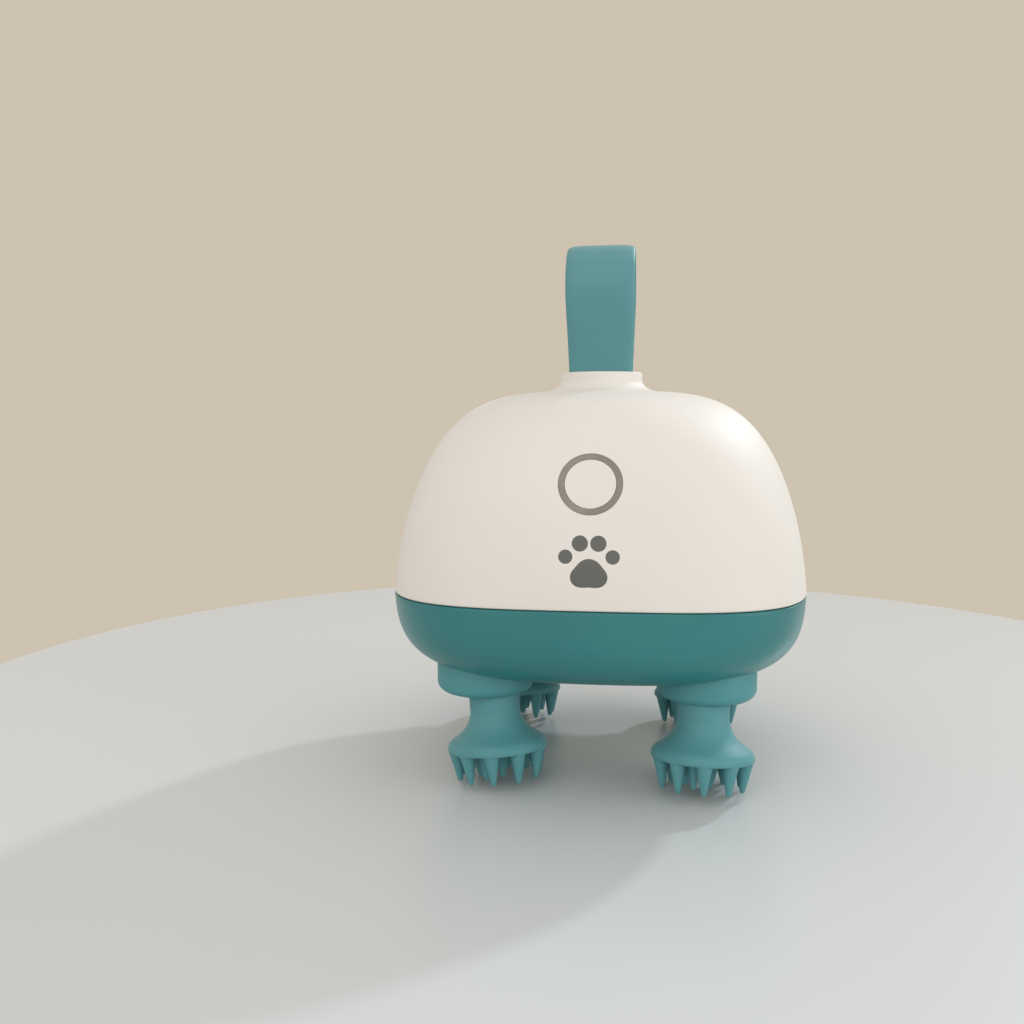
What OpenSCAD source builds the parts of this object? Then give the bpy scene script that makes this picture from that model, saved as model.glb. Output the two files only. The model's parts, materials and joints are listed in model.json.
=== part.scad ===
// Electric pet massager with four kneading heads, millimetres, +Z up.
// The origin is on the table under the middle of the body. The button faces -Y.

/* [Body] */
// Width of the body across its flat sides
body_w = 101; // [98:1:116]
// Height of the dome above the seam
dome_h = 48.6; // [47:0.2:60]
// Depth of the lower shell below the seam
base_h = 20.4; // [20:0.2:26]
// Wall thickness of both shells
wall = 2.2; // [1.8:0.1:2.4]
// Squareness of the plan at the seam, where 2 is round
squareness = 3.5; // [3.2:0.1:4.5]
// Squareness of the plan at the crown
crown_squareness = 2; // [2:0.1:2.6]
// Squareness of the plan at the underside
base_squareness = 2.8; // [2.6:0.1:3.4]
// Fullness of the dome's sides
side_fullness = 4.4; // [3.8:0.1:4.8]
// Fullness of the dome's crown
crown_fullness = 1.75; // [1.7:0.05:2.4]
// Fullness of the lower shell's sides
base_side_fullness = 3.5; // [3.2:0.1:4.5]
// Fullness of the lower shell's floor
base_floor_fullness = 2.85; // [2.6:0.05:3.5]
// Width of the flat underside
underside_w = 40; // [36:1:50]
// Height of the gap between the shells, which the seal fills
seam_gap = 0.4; // [0.3:0.1:0.8]
// Depth of the seal behind the outer surface
seal_inset = 0.9; // [0.6:0.1:1.2]
// Thickness of the lip that the upper shell slides over
lip_t = 1.4; // [1:0.1:1.8]
// Height of the lip above the seam
lip_h = 2.6; // [2:0.2:3.4]

/* [Collar and strap] */
// Outer radius of the collar
collar_r = 10.5; // [10.4:0.1:12]
// Height of the collar above the dome's shoulder
collar_h = 5; // [4:0.2:7]
// Width of the round between dome and collar
fillet_w = 5.9; // [4:0.1:7]
// Height of the round between dome and collar
fillet_h = 3; // [2:0.1:3.6]
// Height of the strap loop above the collar
strap_h = 32.4; // [28:0.2:50]
// Width of the strap at the collar
strap_base_w = 15.4; // [12:0.2:15.6]
// Width of the strap at the top
strap_top_w = 17.2; // [12:0.2:20]
// Thickness of the strap
strap_t = 2.4; // [2:0.1:2.8]
// Distance from the middle to each strand at the collar
strand_y = 5; // [4.6:0.1:5.2]
// Radius of the loop's top, at mid thickness
loop_r = 10.5; // [9:0.1:13]
// Thickness of the plate that clamps the strap's feet
clamp_t = 2; // [1.6:0.2:3]
// Distance from the middle to each clamp screw
clamp_screw_x = 13; // [12.6:0.2:14]

/* [Button and mark] */
// Height of the button's centre above the seam
button_up = 27.5; // [24:0.5:28]
// Outer radius of the ring
ring_r = 7.1; // [6.6:0.1:7.6]
// Width of the ring's face
ring_w = 1.3; // [1:0.1:1.5]
// Travel of the button
button_travel = 0.5; // [0.3:0.1:0.8]
// Height of the mark's centre above the seam
mark_up = 10.9; // [10:0.1:12]
// Width of the mark
mark_w = 13.4; // [10:0.2:16]
// Depth of the mark's inlay
mark_t = 0.3; // [0.2:0.05:0.5]

/* [Charging port] */
// Height of the port's centre above the seam
port_up = 11.5; // [11:0.1:12.5]
// Width of the cover
cover_w = 14.6; // [13:0.2:17]
// Height of the cover
cover_h = 8.6; // [8:0.2:9.6]
// Thickness of the cover
cover_t = 1.5; // [1.3:0.1:1.7]

/* [Massage heads] */
// Radius of the drive disc
disc_r = 11.7; // [11:0.1:12.4]
// How far the disc stands below the shell's flat underside
disc_show = 3.5; // [2:0.1:3.8]
// Radius of the disc's lower edge
disc_round = 2.4; // [0.8:0.1:2.6]
// Lean of the head's axle
tilt = 8; // [6:0.5:11]
// Direction in which the front left head leans at rest, from the right-hand side anticlockwise
lean_fl = 130; // [0:5:355]
// Direction in which the front right head leans at rest
lean_fr = 80; // [0:5:355]
// Direction in which the back left head leans at rest
lean_bl = 110; // [0:5:355]
// Direction in which the back right head leans at rest
lean_br = 90; // [0:5:355]
// Distance of the head's axle from the disc's centre, at the disc's underside
axle_offset = 3.8; // [3:0.1:4]
// Length of the head from the disc's underside to the rim
neck_len = 13.6; // [13:0.1:20]
// Depth of the neck's end inside the disc
neck_in = 1.3; // [1:0.1:1.4]
// Radius of the head's neck
neck_r = 6; // [5.9:0.05:6.6]
// Radius of the head's rim
rim_r = 12; // [11.8:0.1:13]
// Height of the flare between rim and neck
flare_h = 9; // [8:0.2:10]
// Length of the claws below the rim
claw_len = 6.9; // [6:0.1:9]
// Number of claws in the outer ring
outer_claws = 10; // [8:1:11]
// Number of claws in the inner ring
inner_claws = 5; // [3:1:6]
// Radius of a claw at its root
claw_root_r = 1.7; // [1.2:0.05:1.8]
// Radius of a claw at its tip
claw_tip_r = 0.55; // [0.4:0.05:0.8]
// Distance of the outer claws' roots from the head's axle
outer_root = 10.3; // [9.8:0.1:10.5]
// Distance of the outer claws' tips from the head's axle
outer_tip = 9.5; // [8.5:0.1:10.3]
// Distance of the inner claws from the head's axle
inner_ring = 5; // [4.6:0.1:5.4]
// Height of the flats on which the lowest claws stand
tip_flat = 0.2; // [0.1:0.05:0.4]
// Radius of the stub axle on which a head turns
stub_r = 2.5; // [2.2:0.1:2.8]
// Radius of the hard core inside the silicone
core_r = 4.4; // [4.2:0.1:4.6]
// Radius of the core's flange
core_flange_r = 8.4; // [7.6:0.1:9]

/* [Gears] */
// Module of the centre and output gears
main_module = 1; // [0.98:0.01:1.02]
// Teeth of the centre gear
centre_teeth = 50; // [48:1:50]
// Teeth of each output gear
output_teeth = 25; // [24:1:26]
// Module of the reduction gears
fine_module = 0.5; // [0.49:0.01:0.52]
// Teeth of the second wheel's pinion
second_pinion_teeth = 10; // [9:1:11]
// Teeth of the second wheel
second_teeth = 56; // [54:1:58]
// Teeth of the first wheel's pinion
first_pinion_teeth = 14; // [13:1:15]
// Teeth of the first wheel
first_teeth = 45; // [44:1:48]
// Teeth of the motor's pinion
motor_teeth = 10; // [9:1:11]
// Thickness of the centre and output gears
gear_t = 5; // [4:0.1:5.4]
// Thickness of the fine wheels
fine_t = 2.6; // [2:0.1:2.8]
// Pressure angle of all teeth
pressure_angle = 25; // [24:0.5:26]
// Gap between the flanks of the coarse teeth
main_backlash = 0.12; // [0.08:0.01:0.2]
// Gap between the flanks of the fine teeth
fine_backlash = 0.08; // [0.05:0.01:0.12]

/* [Shafts and bearings] */
// Radius of the output shaft in its lower bush
shaft_r = 3; // [2.8:0.1:3.2]
// Radius of the output shaft in its upper bush
shaft_top_r = 2.2; // [2:0.1:2.3]
// Outer radius of the lower bush and the lip seal
bush_r = 5; // [4.6:0.1:5.4]
// Length of the lower bush
bush_l = 3; // [2.6:0.1:4]
// Thickness of the lip seal
lip_seal_t = 1.5; // [1.2:0.1:1.8]
// Radius of the centre gear's pin
centre_pin_r = 2.5; // [2.2:0.1:2.7]
// Radius of the second wheel's pin
second_pin_r = 1.5; // [1.3:0.1:1.6]
// Radius of the first wheel's pin
first_pin_r = 1; // [0.9:0.05:1.1]
// Height of the free space for the gears under the chassis plate
gear_room = 14.2; // [14:0.1:15]
// Thickness of the chassis plate
plate_t = 2; // [1.8:0.1:2.4]

/* [Motor and battery] */
// Radius of the motor can
motor_r = 12.2; // [10:0.1:12.6]
// Length of the motor can
motor_l = 30.8; // [25:0.2:32]
// Radius of the motor's shaft
motor_shaft_r = 1; // [0.8:0.05:1.1]
// Radius of the battery cell
cell_r = 9.2; // [7:0.1:9.4]
// Length of the battery cell
cell_l = 65; // [48:0.5:65]
// Distance of the battery's axis behind the middle
cell_y = 25.2; // [25:0.1:25.6]

/* [Boards] */
// Width of the circuit board
board_w = 42; // [38:1:44]
// Height of the circuit board
board_h = 26; // [20:1:27]
// Thickness of the circuit boards
board_t = 1.6; // [1.2:0.1:1.8]

/* [Clearances] */
// Gap round a turning shaft or pin
run_gap = 0.05; // [0.03:0.01:0.08]
// Gap between a piece and the seat that it is pressed or set into
seat_gap = 0.02; // [0.01:0.01:0.04]
// Gap between a sliding piece and its guide
slide_gap = 0.15; // [0.1:0.05:0.2]
// Gap round the drive disc and the head's neck
disc_gap = 0.4; // [0.3:0.05:0.5]
// Play of a turning piece along its axis
end_play = 0.2; // [0.1:0.05:0.3]

/* [Hidden] */
$fn = 40;

// Colours
cream = [0.90, 0.87, 0.83];
shell_teal = [0.24, 0.48, 0.46];
head_teal = [0.35, 0.60, 0.58];
strap_teal = [0.33, 0.56, 0.57];
ring_grey = [0.58, 0.56, 0.52];
mark_grey = [0.38, 0.38, 0.37];
seal_black = [0.12, 0.13, 0.14];
steel = [0.70, 0.71, 0.73];
bronze = [0.72, 0.56, 0.34];
gear_white = [0.93, 0.93, 0.90];
board_green = [0.10, 0.38, 0.22];
frame_grey = [0.45, 0.47, 0.48];
cell_blue = [0.20, 0.42, 0.62];
copper_red = [0.72, 0.22, 0.16];

// Levels, from the table up
head_len = neck_len + claw_len;
disc_z = head_len * cos(tilt) + outer_tip * sin(tilt) + claw_tip_r * sin(tilt) - tip_flat;
floor_z = disc_z + disc_show;
seam_z = floor_z + base_h;
pocket_depth = 5.2;
pocket_z = floor_z + pocket_depth;
pocket_r = disc_r + disc_gap;
ceiling_t = 2;
bush_z = pocket_z + lip_seal_t;
gear_z = bush_z + bush_l + end_play;
gear_top = gear_z + gear_t;
plate_z = gear_z + gear_room;
plate_top = plate_z + plate_t;

// Half width of the body, and of the cavity inside it
body_r = body_w / 2;
cavity_r = body_r - wall;
flat_r = underside_w / 2;

// Gear layout: four output gears round the centre gear, the second wheel behind it, the motor above it
output_dist = main_module * (centre_teeth + output_teeth) / 2;
second_y = main_module * (centre_teeth + second_pinion_teeth) / 2;
wheel_dist = fine_module * (first_pinion_teeth + second_teeth) / 2;
motor_dist = fine_module * (motor_teeth + first_teeth) / 2;
first_y = (pow(motor_dist, 2) - pow(wheel_dist, 2) + pow(second_y, 2)) / (2 * second_y);
first_x = sqrt(pow(motor_dist, 2) - pow(first_y, 2));
first_angle = atan2(first_y, first_x);
centre_tip_r = main_module * (centre_teeth / 2 + 0.8);

// Levels of the reduction gears
first_top = plate_z - end_play;
first_z = first_top - 0.4 - fine_t;
fine_pinion_l = fine_t + 1;
first_pinion_z = first_z - fine_pinion_l;
second_z = first_pinion_z + 0.4;

// Screws
small_screw_r = 1;
small_head_r = 1.9;
small_head_h = 1.3;
small_screw_l = 5;
case_screw_r = 1.5;
case_head_r = 2.8;
case_head_h = 2;
case_screw_x = body_r - 12;
case_screw_y = 7;
case_seat_z = floor_z + 6;
case_screw_top = seam_z + 9;
post_r = 3.4;
boss_r = 4.4;
pillar_r = 3;
pillar_x = centre_tip_r + pillar_r + 1.7;
front_pillar_x = 9;
front_pillar_y = -(centre_tip_r + pillar_r + 2.2);
pillar_places = [
  [pillar_x, 0],
  [-pillar_x, 0],
  [front_pillar_x, front_pillar_y],
  [-front_pillar_x, front_pillar_y]
];
case_screw_places = [for (sx = [-1, 1], sy = [-1, 1]) [sx * case_screw_x, sy * case_screw_y]];

// Strap and collar levels
shoulder_angle = acos(pow((collar_r + fillet_w) / body_r, side_fullness / 2));
shoulder_z = seam_z + dome_h * pow(sin(shoulder_angle), 2 / crown_fullness);
collar_top = shoulder_z + collar_h;
strap_top = collar_top + strap_h;
ceiling_r = 15;
ceiling_angle = acos(pow(ceiling_r / cavity_r, side_fullness / 2));
ceiling_z = seam_z + (dome_h - wall) * pow(sin(ceiling_angle), 2 / crown_fullness);
strap_gap = 0.1;
foot_h = 2.6;
foot_t = 5.4;
clamp_top = ceiling_z - foot_h;

// Button stack, as depths behind the outer surface along the button's own axis
button_z = seam_z + button_up;
button_r = ring_r - ring_w - slide_gap;
boss_depth = 4.2;
ring_flange_t = 1.2;
ring_flange_r = ring_r + 2.1;
button_flange_depth = boss_depth + ring_flange_t + end_play;
button_flange_t = 1;
seal_floor_depth = button_flange_depth + button_flange_t + button_travel + 0.5;
seal_floor_t = 0.8;
stem_depth = seal_floor_depth + seal_floor_t + 0.9;
stem_r = 1.5;
plunger_depth = stem_depth + 0.1;
switch_depth = plunger_depth + button_travel + 0.4;
switch_h = 3.5;
switch_w = 6;
board_depth = switch_depth + switch_h;
board_screw_x = board_w / 2 - 6;

// Charging port, in its own frame on the back of the dome
port_z = seam_z + port_up;
slot_w = 9.4;
slot_h = 3.7;
socket_w = 8.94;
socket_h = 3.26;
socket_depth = cover_t + 1.7;
socket_l = 7;
charge_board_depth = socket_depth + socket_l;
charge_board_t = 1.2;
charge_screw_x = 9.2;
plug_l = 1;
port_boss_depth = socket_depth + 1.4;

// Battery and cradle
cell_z = plate_top + 1 + cell_r + seat_gap;
cradle_wall = 1.2;
cradle_h = 7;

// Half width of the dome's outer surface at a height above the seam
function dome_half(up) = body_r * pow(1 - pow(up / dome_h, crown_fullness), 1 / side_fullness);

// Lean of the dome's wall at a height above the seam
function dome_lean(up) = atan(dome_half(up - 0.5) - dome_half(up + 0.5));

// A closed curve between a circle and a square, as count points
function squircle(half, power, count) = [
  for (i = [0:count - 1])
    let (a = 360 * i / count, c = cos(a), s = sin(a))
      [half * sign(c) * pow(abs(c), 2 / power), half * sign(s) * pow(abs(s), 2 / power)]
];

// One level of a lofted solid
function level(half, power, z, count) = [for (p = squircle(half, power, count)) [p[0], p[1], z]];

// Points of a cubic curve between two points
function curve(p0, p1, p2, p3, steps) = [
  for (i = [0:steps])
    let (t = i / steps, u = 1 - t)
      u * u * u * p0 + 3 * u * u * t * p1 + 3 * u * t * t * p2 + t * t * t * p3
];

// Closed solid through levels of equal point counts, listed from the bottom up
module loft(levels) {
  count = len(levels[0]);
  rows = len(levels);
  points = [for (row = levels) each row];
  sides = [
    for (r = [0:rows - 2], i = [0:count - 1])
      let (j = (i + 1) % count, a = r * count, b = (r + 1) * count)
        each [[a + i, b + i, a + j], [a + j, b + i, b + j]]
  ];
  bottom = [[for (i = [0:count - 1]) i]];
  top = [[for (i = [count - 1:-1:0]) (rows - 1) * count + i]];
  polyhedron(concat(points, []), concat(sides, bottom, top), convexity = 4);
}

// Levels of the dome inside the given half width and height, up to an angle of its quarter turn
function dome_levels(half, height, last_angle, steps, count) = [
  for (i = [0:steps])
    let (a = last_angle * i / steps, rise = pow(sin(a), 2 / crown_fullness))
      level(
        half * pow(cos(a), 2 / side_fullness),
        squareness + (crown_squareness - squareness) * rise,
        seam_z + height * rise,
        count
      )
];

// Levels of the lower shell from its floor up to the seam
function base_levels(inset, steps, count) = [
  for (i = [steps:-1:0])
    let (
      a = 90 * i / steps,
      drop = pow(sin(a), 2 / base_floor_fullness),
      side = pow(cos(a), 2 / base_side_fullness)
    )
      level(
        flat_r + (body_r - flat_r - inset) * side,
        squareness + (base_squareness - squareness) * drop,
        seam_z - (base_h - inset) * drop,
        count
      )
];

outer_count = 48;
inner_count = 40;
collar_levels = [
  for (a = [22.5:22.5:90])
    level(
      collar_r + fillet_w * (1 - sin(a)),
      2,
      shoulder_z + fillet_h * (1 - cos(a)),
      outer_count
    )
];
collar_edge = 0.4;

// Outer form of the upper shell, drawn in by inset for the bottom of an inlay
module dome_form(inset = 0) {
  loft(concat(
    dome_levels(body_r - inset, dome_h, shoulder_angle, 11, outer_count),
    collar_levels,
    [
      level(collar_r, 2, collar_top - collar_edge, outer_count),
      level(collar_r - collar_edge * 0.3, 2, collar_top - collar_edge * 0.3, outer_count),
      level(collar_r - collar_edge, 2, collar_top, outer_count)
    ]
  ));
}

// Places children on the front of the dome, local Z pointing out of the surface
module on_front(up, lean) {
  translate([0, -dome_half(up), seam_z + up])
    rotate([90 - lean, 0, 0])
      children();
}

// Places children on the back of the dome
module on_back(up, lean) {
  rotate([0, 0, 180])
    on_front(up, lean)
      children();
}

module at_button() {
  on_front(button_up, dome_lean(button_up))
    children();
}

module at_mark() {
  on_front(mark_up, dome_lean(mark_up))
    children();
}

module at_port() {
  on_back(port_up, dome_lean(port_up))
    children();
}

// Box with its middle at x = y = 0 and given bottom and height
module block(w, d, z, h) {
  translate([-w / 2, -d / 2, z])
    cube([w, d, h]);
}

// Disc from depth d1 to depth d2 behind a surface frame
module deep_disc(r, d1, d2) {
  translate([0, 0, -d2])
    cylinder(r = r, h = d2 - d1);
}

// Slot with round ends from depth d1 to depth d2 behind a surface frame
module deep_slot(w, h, d1, d2) {
  translate([0, 0, -d2])
    linear_extrude(d2 - d1)
      union() {
        square([w - h, h], center = true);
        for (sx = [-1, 1])
          translate([sx * (w - h) / 2, 0])
            circle(d = h);
      }
}

// Screw with its head's underside at z = 0 and its shank going down
module screw(r, length, head_r, head_h) {
  translate([0, 0, -length])
    cylinder(r = r, h = length, $fn = 24);
  difference() {
    cylinder(r = head_r, h = head_h, $fn = 24);
    block(head_r * 1.2, 0.5, head_h - 0.6, 1);
    block(0.5, head_r * 1.2, head_h - 0.6, 1);
  }
}

module small_screw() {
  screw(small_screw_r, small_screw_l, small_head_r, small_head_h);
}

// Places of the small screws, one module for the screws and for the holes that take them
module at_small_screws() {
  // chassis plate to its pillars
  for (p = pillar_places)
    translate([p[0], p[1], plate_top])
      children();
  // battery cradle to the chassis plate
  for (sx = [-1, 1])
    translate([sx * cradle_screw_x, cell_y, plate_top + cradle_tab_t])
      children();
  // strap clamp to the collar
  for (sx = [-1, 1])
    translate([sx * clamp_screw_x, 0, clamp_top - clamp_t])
      rotate([180, 0, 0])
        children();
  // motor to the chassis plate
  for (side = [-90, 90])
    rotate([0, 0, first_angle + side])
      translate([motor_screw_dist, 0, plate_z])
        rotate([180, 0, 0])
          children();
  // circuit board to its bosses
  at_button()
    for (sx = [-1, 1])
      translate([sx * board_screw_x, 0, -board_depth - board_t])
        rotate([180, 0, 0])
          children();
  // charging board to its bosses
  at_port()
    for (sx = [-1, 1])
      translate([sx * charge_screw_x, 0, -charge_board_depth - charge_board_t])
        rotate([180, 0, 0])
          children();
}

motor_screw_dist = 8;
cradle_tab_t = 2;
cradle_screw_x = cell_l / 2 + 4.7;

// Shank holes of all small screws
module small_screw_holes() {
  at_small_screws()
    translate([0, 0, -small_screw_l - 0.4])
      cylinder(r = small_screw_r + seat_gap, h = small_screw_l + 0.8, $fn = 24);
}

module frame_screws() {
  color(steel)
    at_small_screws()
      small_screw();
}

module case_screws() {
  color(steel)
    for (p = case_screw_places)
      translate([p[0], p[1], case_seat_z])
        rotate([180, 0, 0])
          screw(case_screw_r, case_screw_top - case_seat_z, case_head_r, case_head_h);
}

// Paw print of one pad and four toes, as rods that cross the front wall
module paw_rods() {
  u = mark_w / 13.4;
  pads = [
    [0, -2.5, 3.1],
    [-2, -3.2, 2.3],
    [2, -3.2, 2.3],
    [-5.1, 1, 1.55],
    [5.1, 1, 1.55],
    [-2, 3.9, 1.75],
    [2, 3.9, 1.75]
  ];
  at_mark()
    for (p = pads)
      translate([p[0] * u, p[1] * u, -3])
        cylinder(r = p[2] * u, h = 6);
}

// The thin layer of the front wall that the mark fills
module mark_layer() {
  difference() {
    paw_rods();
    dome_form(mark_t);
  }
}

module paw_mark() {
  color(mark_grey)
    intersection() {
      dome_form();
      mark_layer();
    }
}

// Solid features inside the upper shell, cut to its cavity
module upper_bosses() {
  // posts of the long screws, with ribs to the side walls
  for (p = case_screw_places) {
    translate([p[0], p[1], seam_z + seam_gap / 2])
      cylinder(r = post_r, h = dome_h);
    translate([p[0] > 0 ? p[0] : -body_r, p[1] - 1, seam_z + lip_h + 1])
      cube([body_r - case_screw_x, 2, dome_h]);
  }
  // bosses of the strap clamp
  for (sx = [-1, 1])
    translate([sx * clamp_screw_x, 0, clamp_top])
      cylinder(r = 2.8, h = dome_h);
  // boss behind the button, and the circuit board's bosses
  at_button() {
    deep_disc(ring_flange_r + 1.3, 0, boss_depth);
    for (sx = [-1, 1])
      translate([sx * board_screw_x, 0, 0])
        deep_disc(2.6, 0, board_depth);
  }
  // block behind the charging port, and the charging board's bosses
  at_port() {
    translate([0, 0, -port_boss_depth])
      block(cover_w + 5, cover_h + 4, 0, port_boss_depth);
    for (sx = [-1, 1])
      translate([sx * charge_screw_x, 0, 0])
        deep_disc(2.2, 0, charge_board_depth);
  }
}

// Recess that the charging cover lies in, round along its turning edge
module cover_form(gap, d2) {
  edge_r = cover_t / 2;
  hull_h = cover_h - edge_r;
  translate([-cover_w / 2 - gap, -cover_h / 2 + edge_r, -d2])
    cube([cover_w + 2 * gap, hull_h + gap, d2 + 1]);
  translate([-cover_w / 2 - gap, -cover_h / 2 + edge_r, -edge_r])
    rotate([0, 90, 0])
      cylinder(r = edge_r + gap, h = cover_w + 2 * gap);
}

module upper_shell() {
  color(cream)
    difference() {
      dome_form();
      // cavity, less the bosses that stand in it
      difference() {
        loft(dome_levels(cavity_r, dome_h - wall, ceiling_angle, 9, inner_count));
        upper_bosses();
      }
      // gap of the seam
      block(body_w + 2, body_w + 2, seam_z - 1, 1 + seam_gap / 2);
      // slots of the strap
      for (sy = [-1, 1])
        translate([0, sy * strand_y, 0])
          block(strap_base_w + 2 * strap_gap, strap_t + 2 * strap_gap, ceiling_z - 1, dome_h);
      // seat of the ring
      at_button()
        translate([0, 0, -boss_depth - 1])
          cylinder(r = ring_r + seat_gap, h = boss_depth + 3);
      // recess of the mark
      mark_layer();
      // recess and slot of the charging port
      at_port() {
        cover_form(slide_gap, cover_t + 0.1);
        translate([-cover_w / 2 - slide_gap, -cover_h / 2 - slide_gap, -cover_t / 2])
          cube([cover_w + 2 * slide_gap, cover_h / 2, 3]);
        deep_slot(slot_w, slot_h, 0, port_boss_depth + 1);
      }
      // pilot holes
      small_screw_holes();
      for (p = case_screw_places)
        translate([p[0], p[1], seam_z - 1])
          cylinder(r = case_screw_r + seat_gap, h = case_screw_top - seam_z + 1.5, $fn = 24);
    }
}

// Solid features inside the lower shell, cut to its cavity
module lower_bosses() {
  // cups over the disc pockets, with collars round the bushes
  at_units() {
    translate([0, 0, floor_z])
      cylinder(r = pocket_r + 1.9, h = pocket_depth + ceiling_t);
    translate([0, 0, floor_z])
      cylinder(r = bush_r + 1.6, h = bush_z + bush_l - floor_z);
  }
  // bosses of the long screws
  for (p = case_screw_places)
    translate([p[0], p[1], floor_z])
      cylinder(r = boss_r, h = base_h - seam_gap / 2);
  // bosses of the centre pin and the second wheel's pin
  translate([0, 0, floor_z])
    cylinder(r = centre_pin_r + 3, h = gear_z - 2 * end_play - 1 - floor_z);
  translate([0, second_y, floor_z])
    cylinder(r = second_pin_r + 2.5, h = gear_z - 2 * end_play - floor_z);
}

// Flat ring that follows the seam's plan
module seam_ring(outer_half, inner_half, z, h) {
  translate([0, 0, z])
    linear_extrude(h)
      difference() {
        polygon(squircle(outer_half, squareness, inner_count));
        polygon(squircle(inner_half, squareness, inner_count));
      }
}

lip_half = cavity_r - 0.4;

module lower_shell() {
  color(shell_teal) {
    difference() {
      union() {
        difference() {
          loft(base_levels(0, 10, outer_count));
          difference() {
            loft(base_levels(wall, 8, inner_count));
            lower_bosses();
          }
          block(body_w + 2, body_w + 2, seam_z - seam_gap / 2, 1);
        }
        // pillars of the chassis plate
        for (p = pillar_places)
          translate([p[0], p[1], floor_z + wall / 2])
            cylinder(r = pillar_r, h = plate_z - floor_z - wall / 2);
        // lip that centres the upper shell
        seam_ring(cavity_r + 0.3, lip_half - lip_t, seam_z - 2, 2 - seam_gap / 2);
        seam_ring(lip_half, lip_half - lip_t, seam_z - 1, 1 + lip_h);
      }
      // disc pockets, and the bores of seals and bushes
      at_units() {
        translate([0, 0, floor_z - 3])
          cylinder(r = pocket_r, h = pocket_depth + 3);
        translate([0, 0, pocket_z - 1])
          cylinder(r = bush_r + seat_gap, h = dome_h);
      }
      // seats of the pins
      translate([0, 0, floor_z + wall])
        cylinder(r = centre_pin_r + seat_gap, h = dome_h);
      translate([0, second_y, floor_z + wall])
        cylinder(r = second_pin_r + seat_gap, h = dome_h);
      // holes of the long screws, and the seats of their heads
      for (p = case_screw_places)
        translate([p[0], p[1], 0]) {
          translate([0, 0, case_seat_z - 1])
            cylinder(r = case_screw_r + seat_gap, h = dome_h, $fn = 24);
          cylinder(r = case_head_r + slide_gap, h = case_seat_z);
        }
      small_screw_holes();
    }
  }
}

module shell_seal() {
  color(seal_black)
    seam_ring(body_r - seal_inset, cavity_r, seam_z - seam_gap / 2, seam_gap);
}

// Middle line of one strand: how far it stands from the middle at a share of its height
function strand_out(share) = strand_y + (loop_r - strand_y) * (3 * share * share - 2 * pow(share, 3));

// Points along the front half of the loop, from the clamp to the top, off the middle line by a distance
function strap_side(off) = let (
  arc_z = strap_top - strap_t / 2 - loop_r,
  rise = arc_z - collar_top,
  steps = 8
) concat(
  [[-strand_y - off, clamp_top]],
  [
    for (i = [0:steps])
      let (
        share = i / steps,
        lean = atan((loop_r - strand_y) * 6 * share * (1 - share) / rise)
      )
        [-strand_out(share) - off * cos(lean), collar_top + share * rise - off * sin(lean)]
  ],
  [
    for (a = [15:15:90])
      [-(loop_r + off) * cos(a), arc_z + (loop_r + off) * sin(a)]
  ]
);

function mirrored(points) = [for (i = [len(points) - 1:-1:0]) [-points[i][0], points[i][1]]];

function backwards(points) = [for (i = [len(points) - 1:-1:0]) points[i]];

function whole_loop(off) = let (side = strap_side(off), back = mirrored(side)) concat(
  side,
  [for (i = [1:len(back) - 1]) back[i]]
);

// Front outline of the strap, wider towards the top, with round corners
module strap_front() {
  corner = 1.5;
  wide_z = collar_top + strap_h * 0.6;
  base_half = strap_base_w / 2;
  top_half = strap_top_w / 2;
  right = concat(
    [[base_half, clamp_top - 1], [base_half, collar_top], [top_half, wide_z]],
    [
      for (a = [0:22.5:90])
        [top_half - corner * (1 - cos(a)), strap_top - corner * (1 - sin(a))]
    ]
  );
  polygon(concat(right, mirrored(right)));
}

module strap() {
  color(strap_teal) {
    intersection() {
      rotate([90, 0, 90])
        linear_extrude(strap_top_w + 2, center = true)
          polygon(concat(whole_loop(strap_t / 2), backwards(whole_loop(-strap_t / 2))));
      rotate([90, 0, 0])
        linear_extrude(4 * loop_r, center = true)
          strap_front();
    }
    for (sy = [-1, 1])
      translate([0, sy * strand_y, 0])
        block(strap_base_w, foot_t, clamp_top, foot_h - seat_gap);
  }
}

module strap_clamp() {
  color(frame_grey)
    difference() {
      block(2 * clamp_screw_x + 6, 2 * strand_y + foot_t, clamp_top - clamp_t, clamp_t - seat_gap);
      small_screw_holes();
    }
}

module button_ring() {
  color(ring_grey)
    difference() {
      union() {
        intersection() {
          dome_form();
          at_button()
            translate([0, 0, -boss_depth - 1])
              cylinder(r = ring_r, h = boss_depth + 3);
        }
        at_button()
          deep_disc(ring_flange_r, boss_depth + seat_gap, boss_depth + ring_flange_t);
      }
      at_button()
        translate([0, 0, -board_depth])
          cylinder(r = ring_r - ring_w, h = board_depth + 3);
    }
}

module power_button() {
  color(cream) {
    intersection() {
      dome_form();
      at_button()
        translate([0, 0, -button_flange_depth - 0.5])
          cylinder(r = button_r, h = button_flange_depth + 3);
    }
    at_button() {
      deep_disc(button_r, 2, button_flange_depth + 0.1);
      deep_disc(ring_r - 0.2, button_flange_depth, button_flange_depth + button_flange_t);
      deep_disc(stem_r, button_flange_depth, stem_depth);
    }
  }
}

module button_seal() {
  color(seal_black)
    at_button()
      difference() {
        deep_disc(ring_flange_r, boss_depth + ring_flange_t + seat_gap, seal_floor_depth + seal_floor_t);
        deep_disc(ring_r + 0.2, 0, seal_floor_depth);
        deep_disc(stem_r + slide_gap, 0, board_depth);
      }
}

module circuit_board() {
  color(board_green)
    difference() {
      at_button()
        translate([0, 0, -board_depth - board_t])
          block(board_w, board_h, 0, board_t - seat_gap);
      small_screw_holes();
    }
}

module switch_body() {
  color(seal_black)
    at_button()
      difference() {
        translate([0, 0, -board_depth])
          block(switch_w, switch_w, 0, switch_h);
        deep_disc(stem_r + slide_gap + 0.1, 0, switch_depth + button_travel + 1.4);
      }
}

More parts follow.
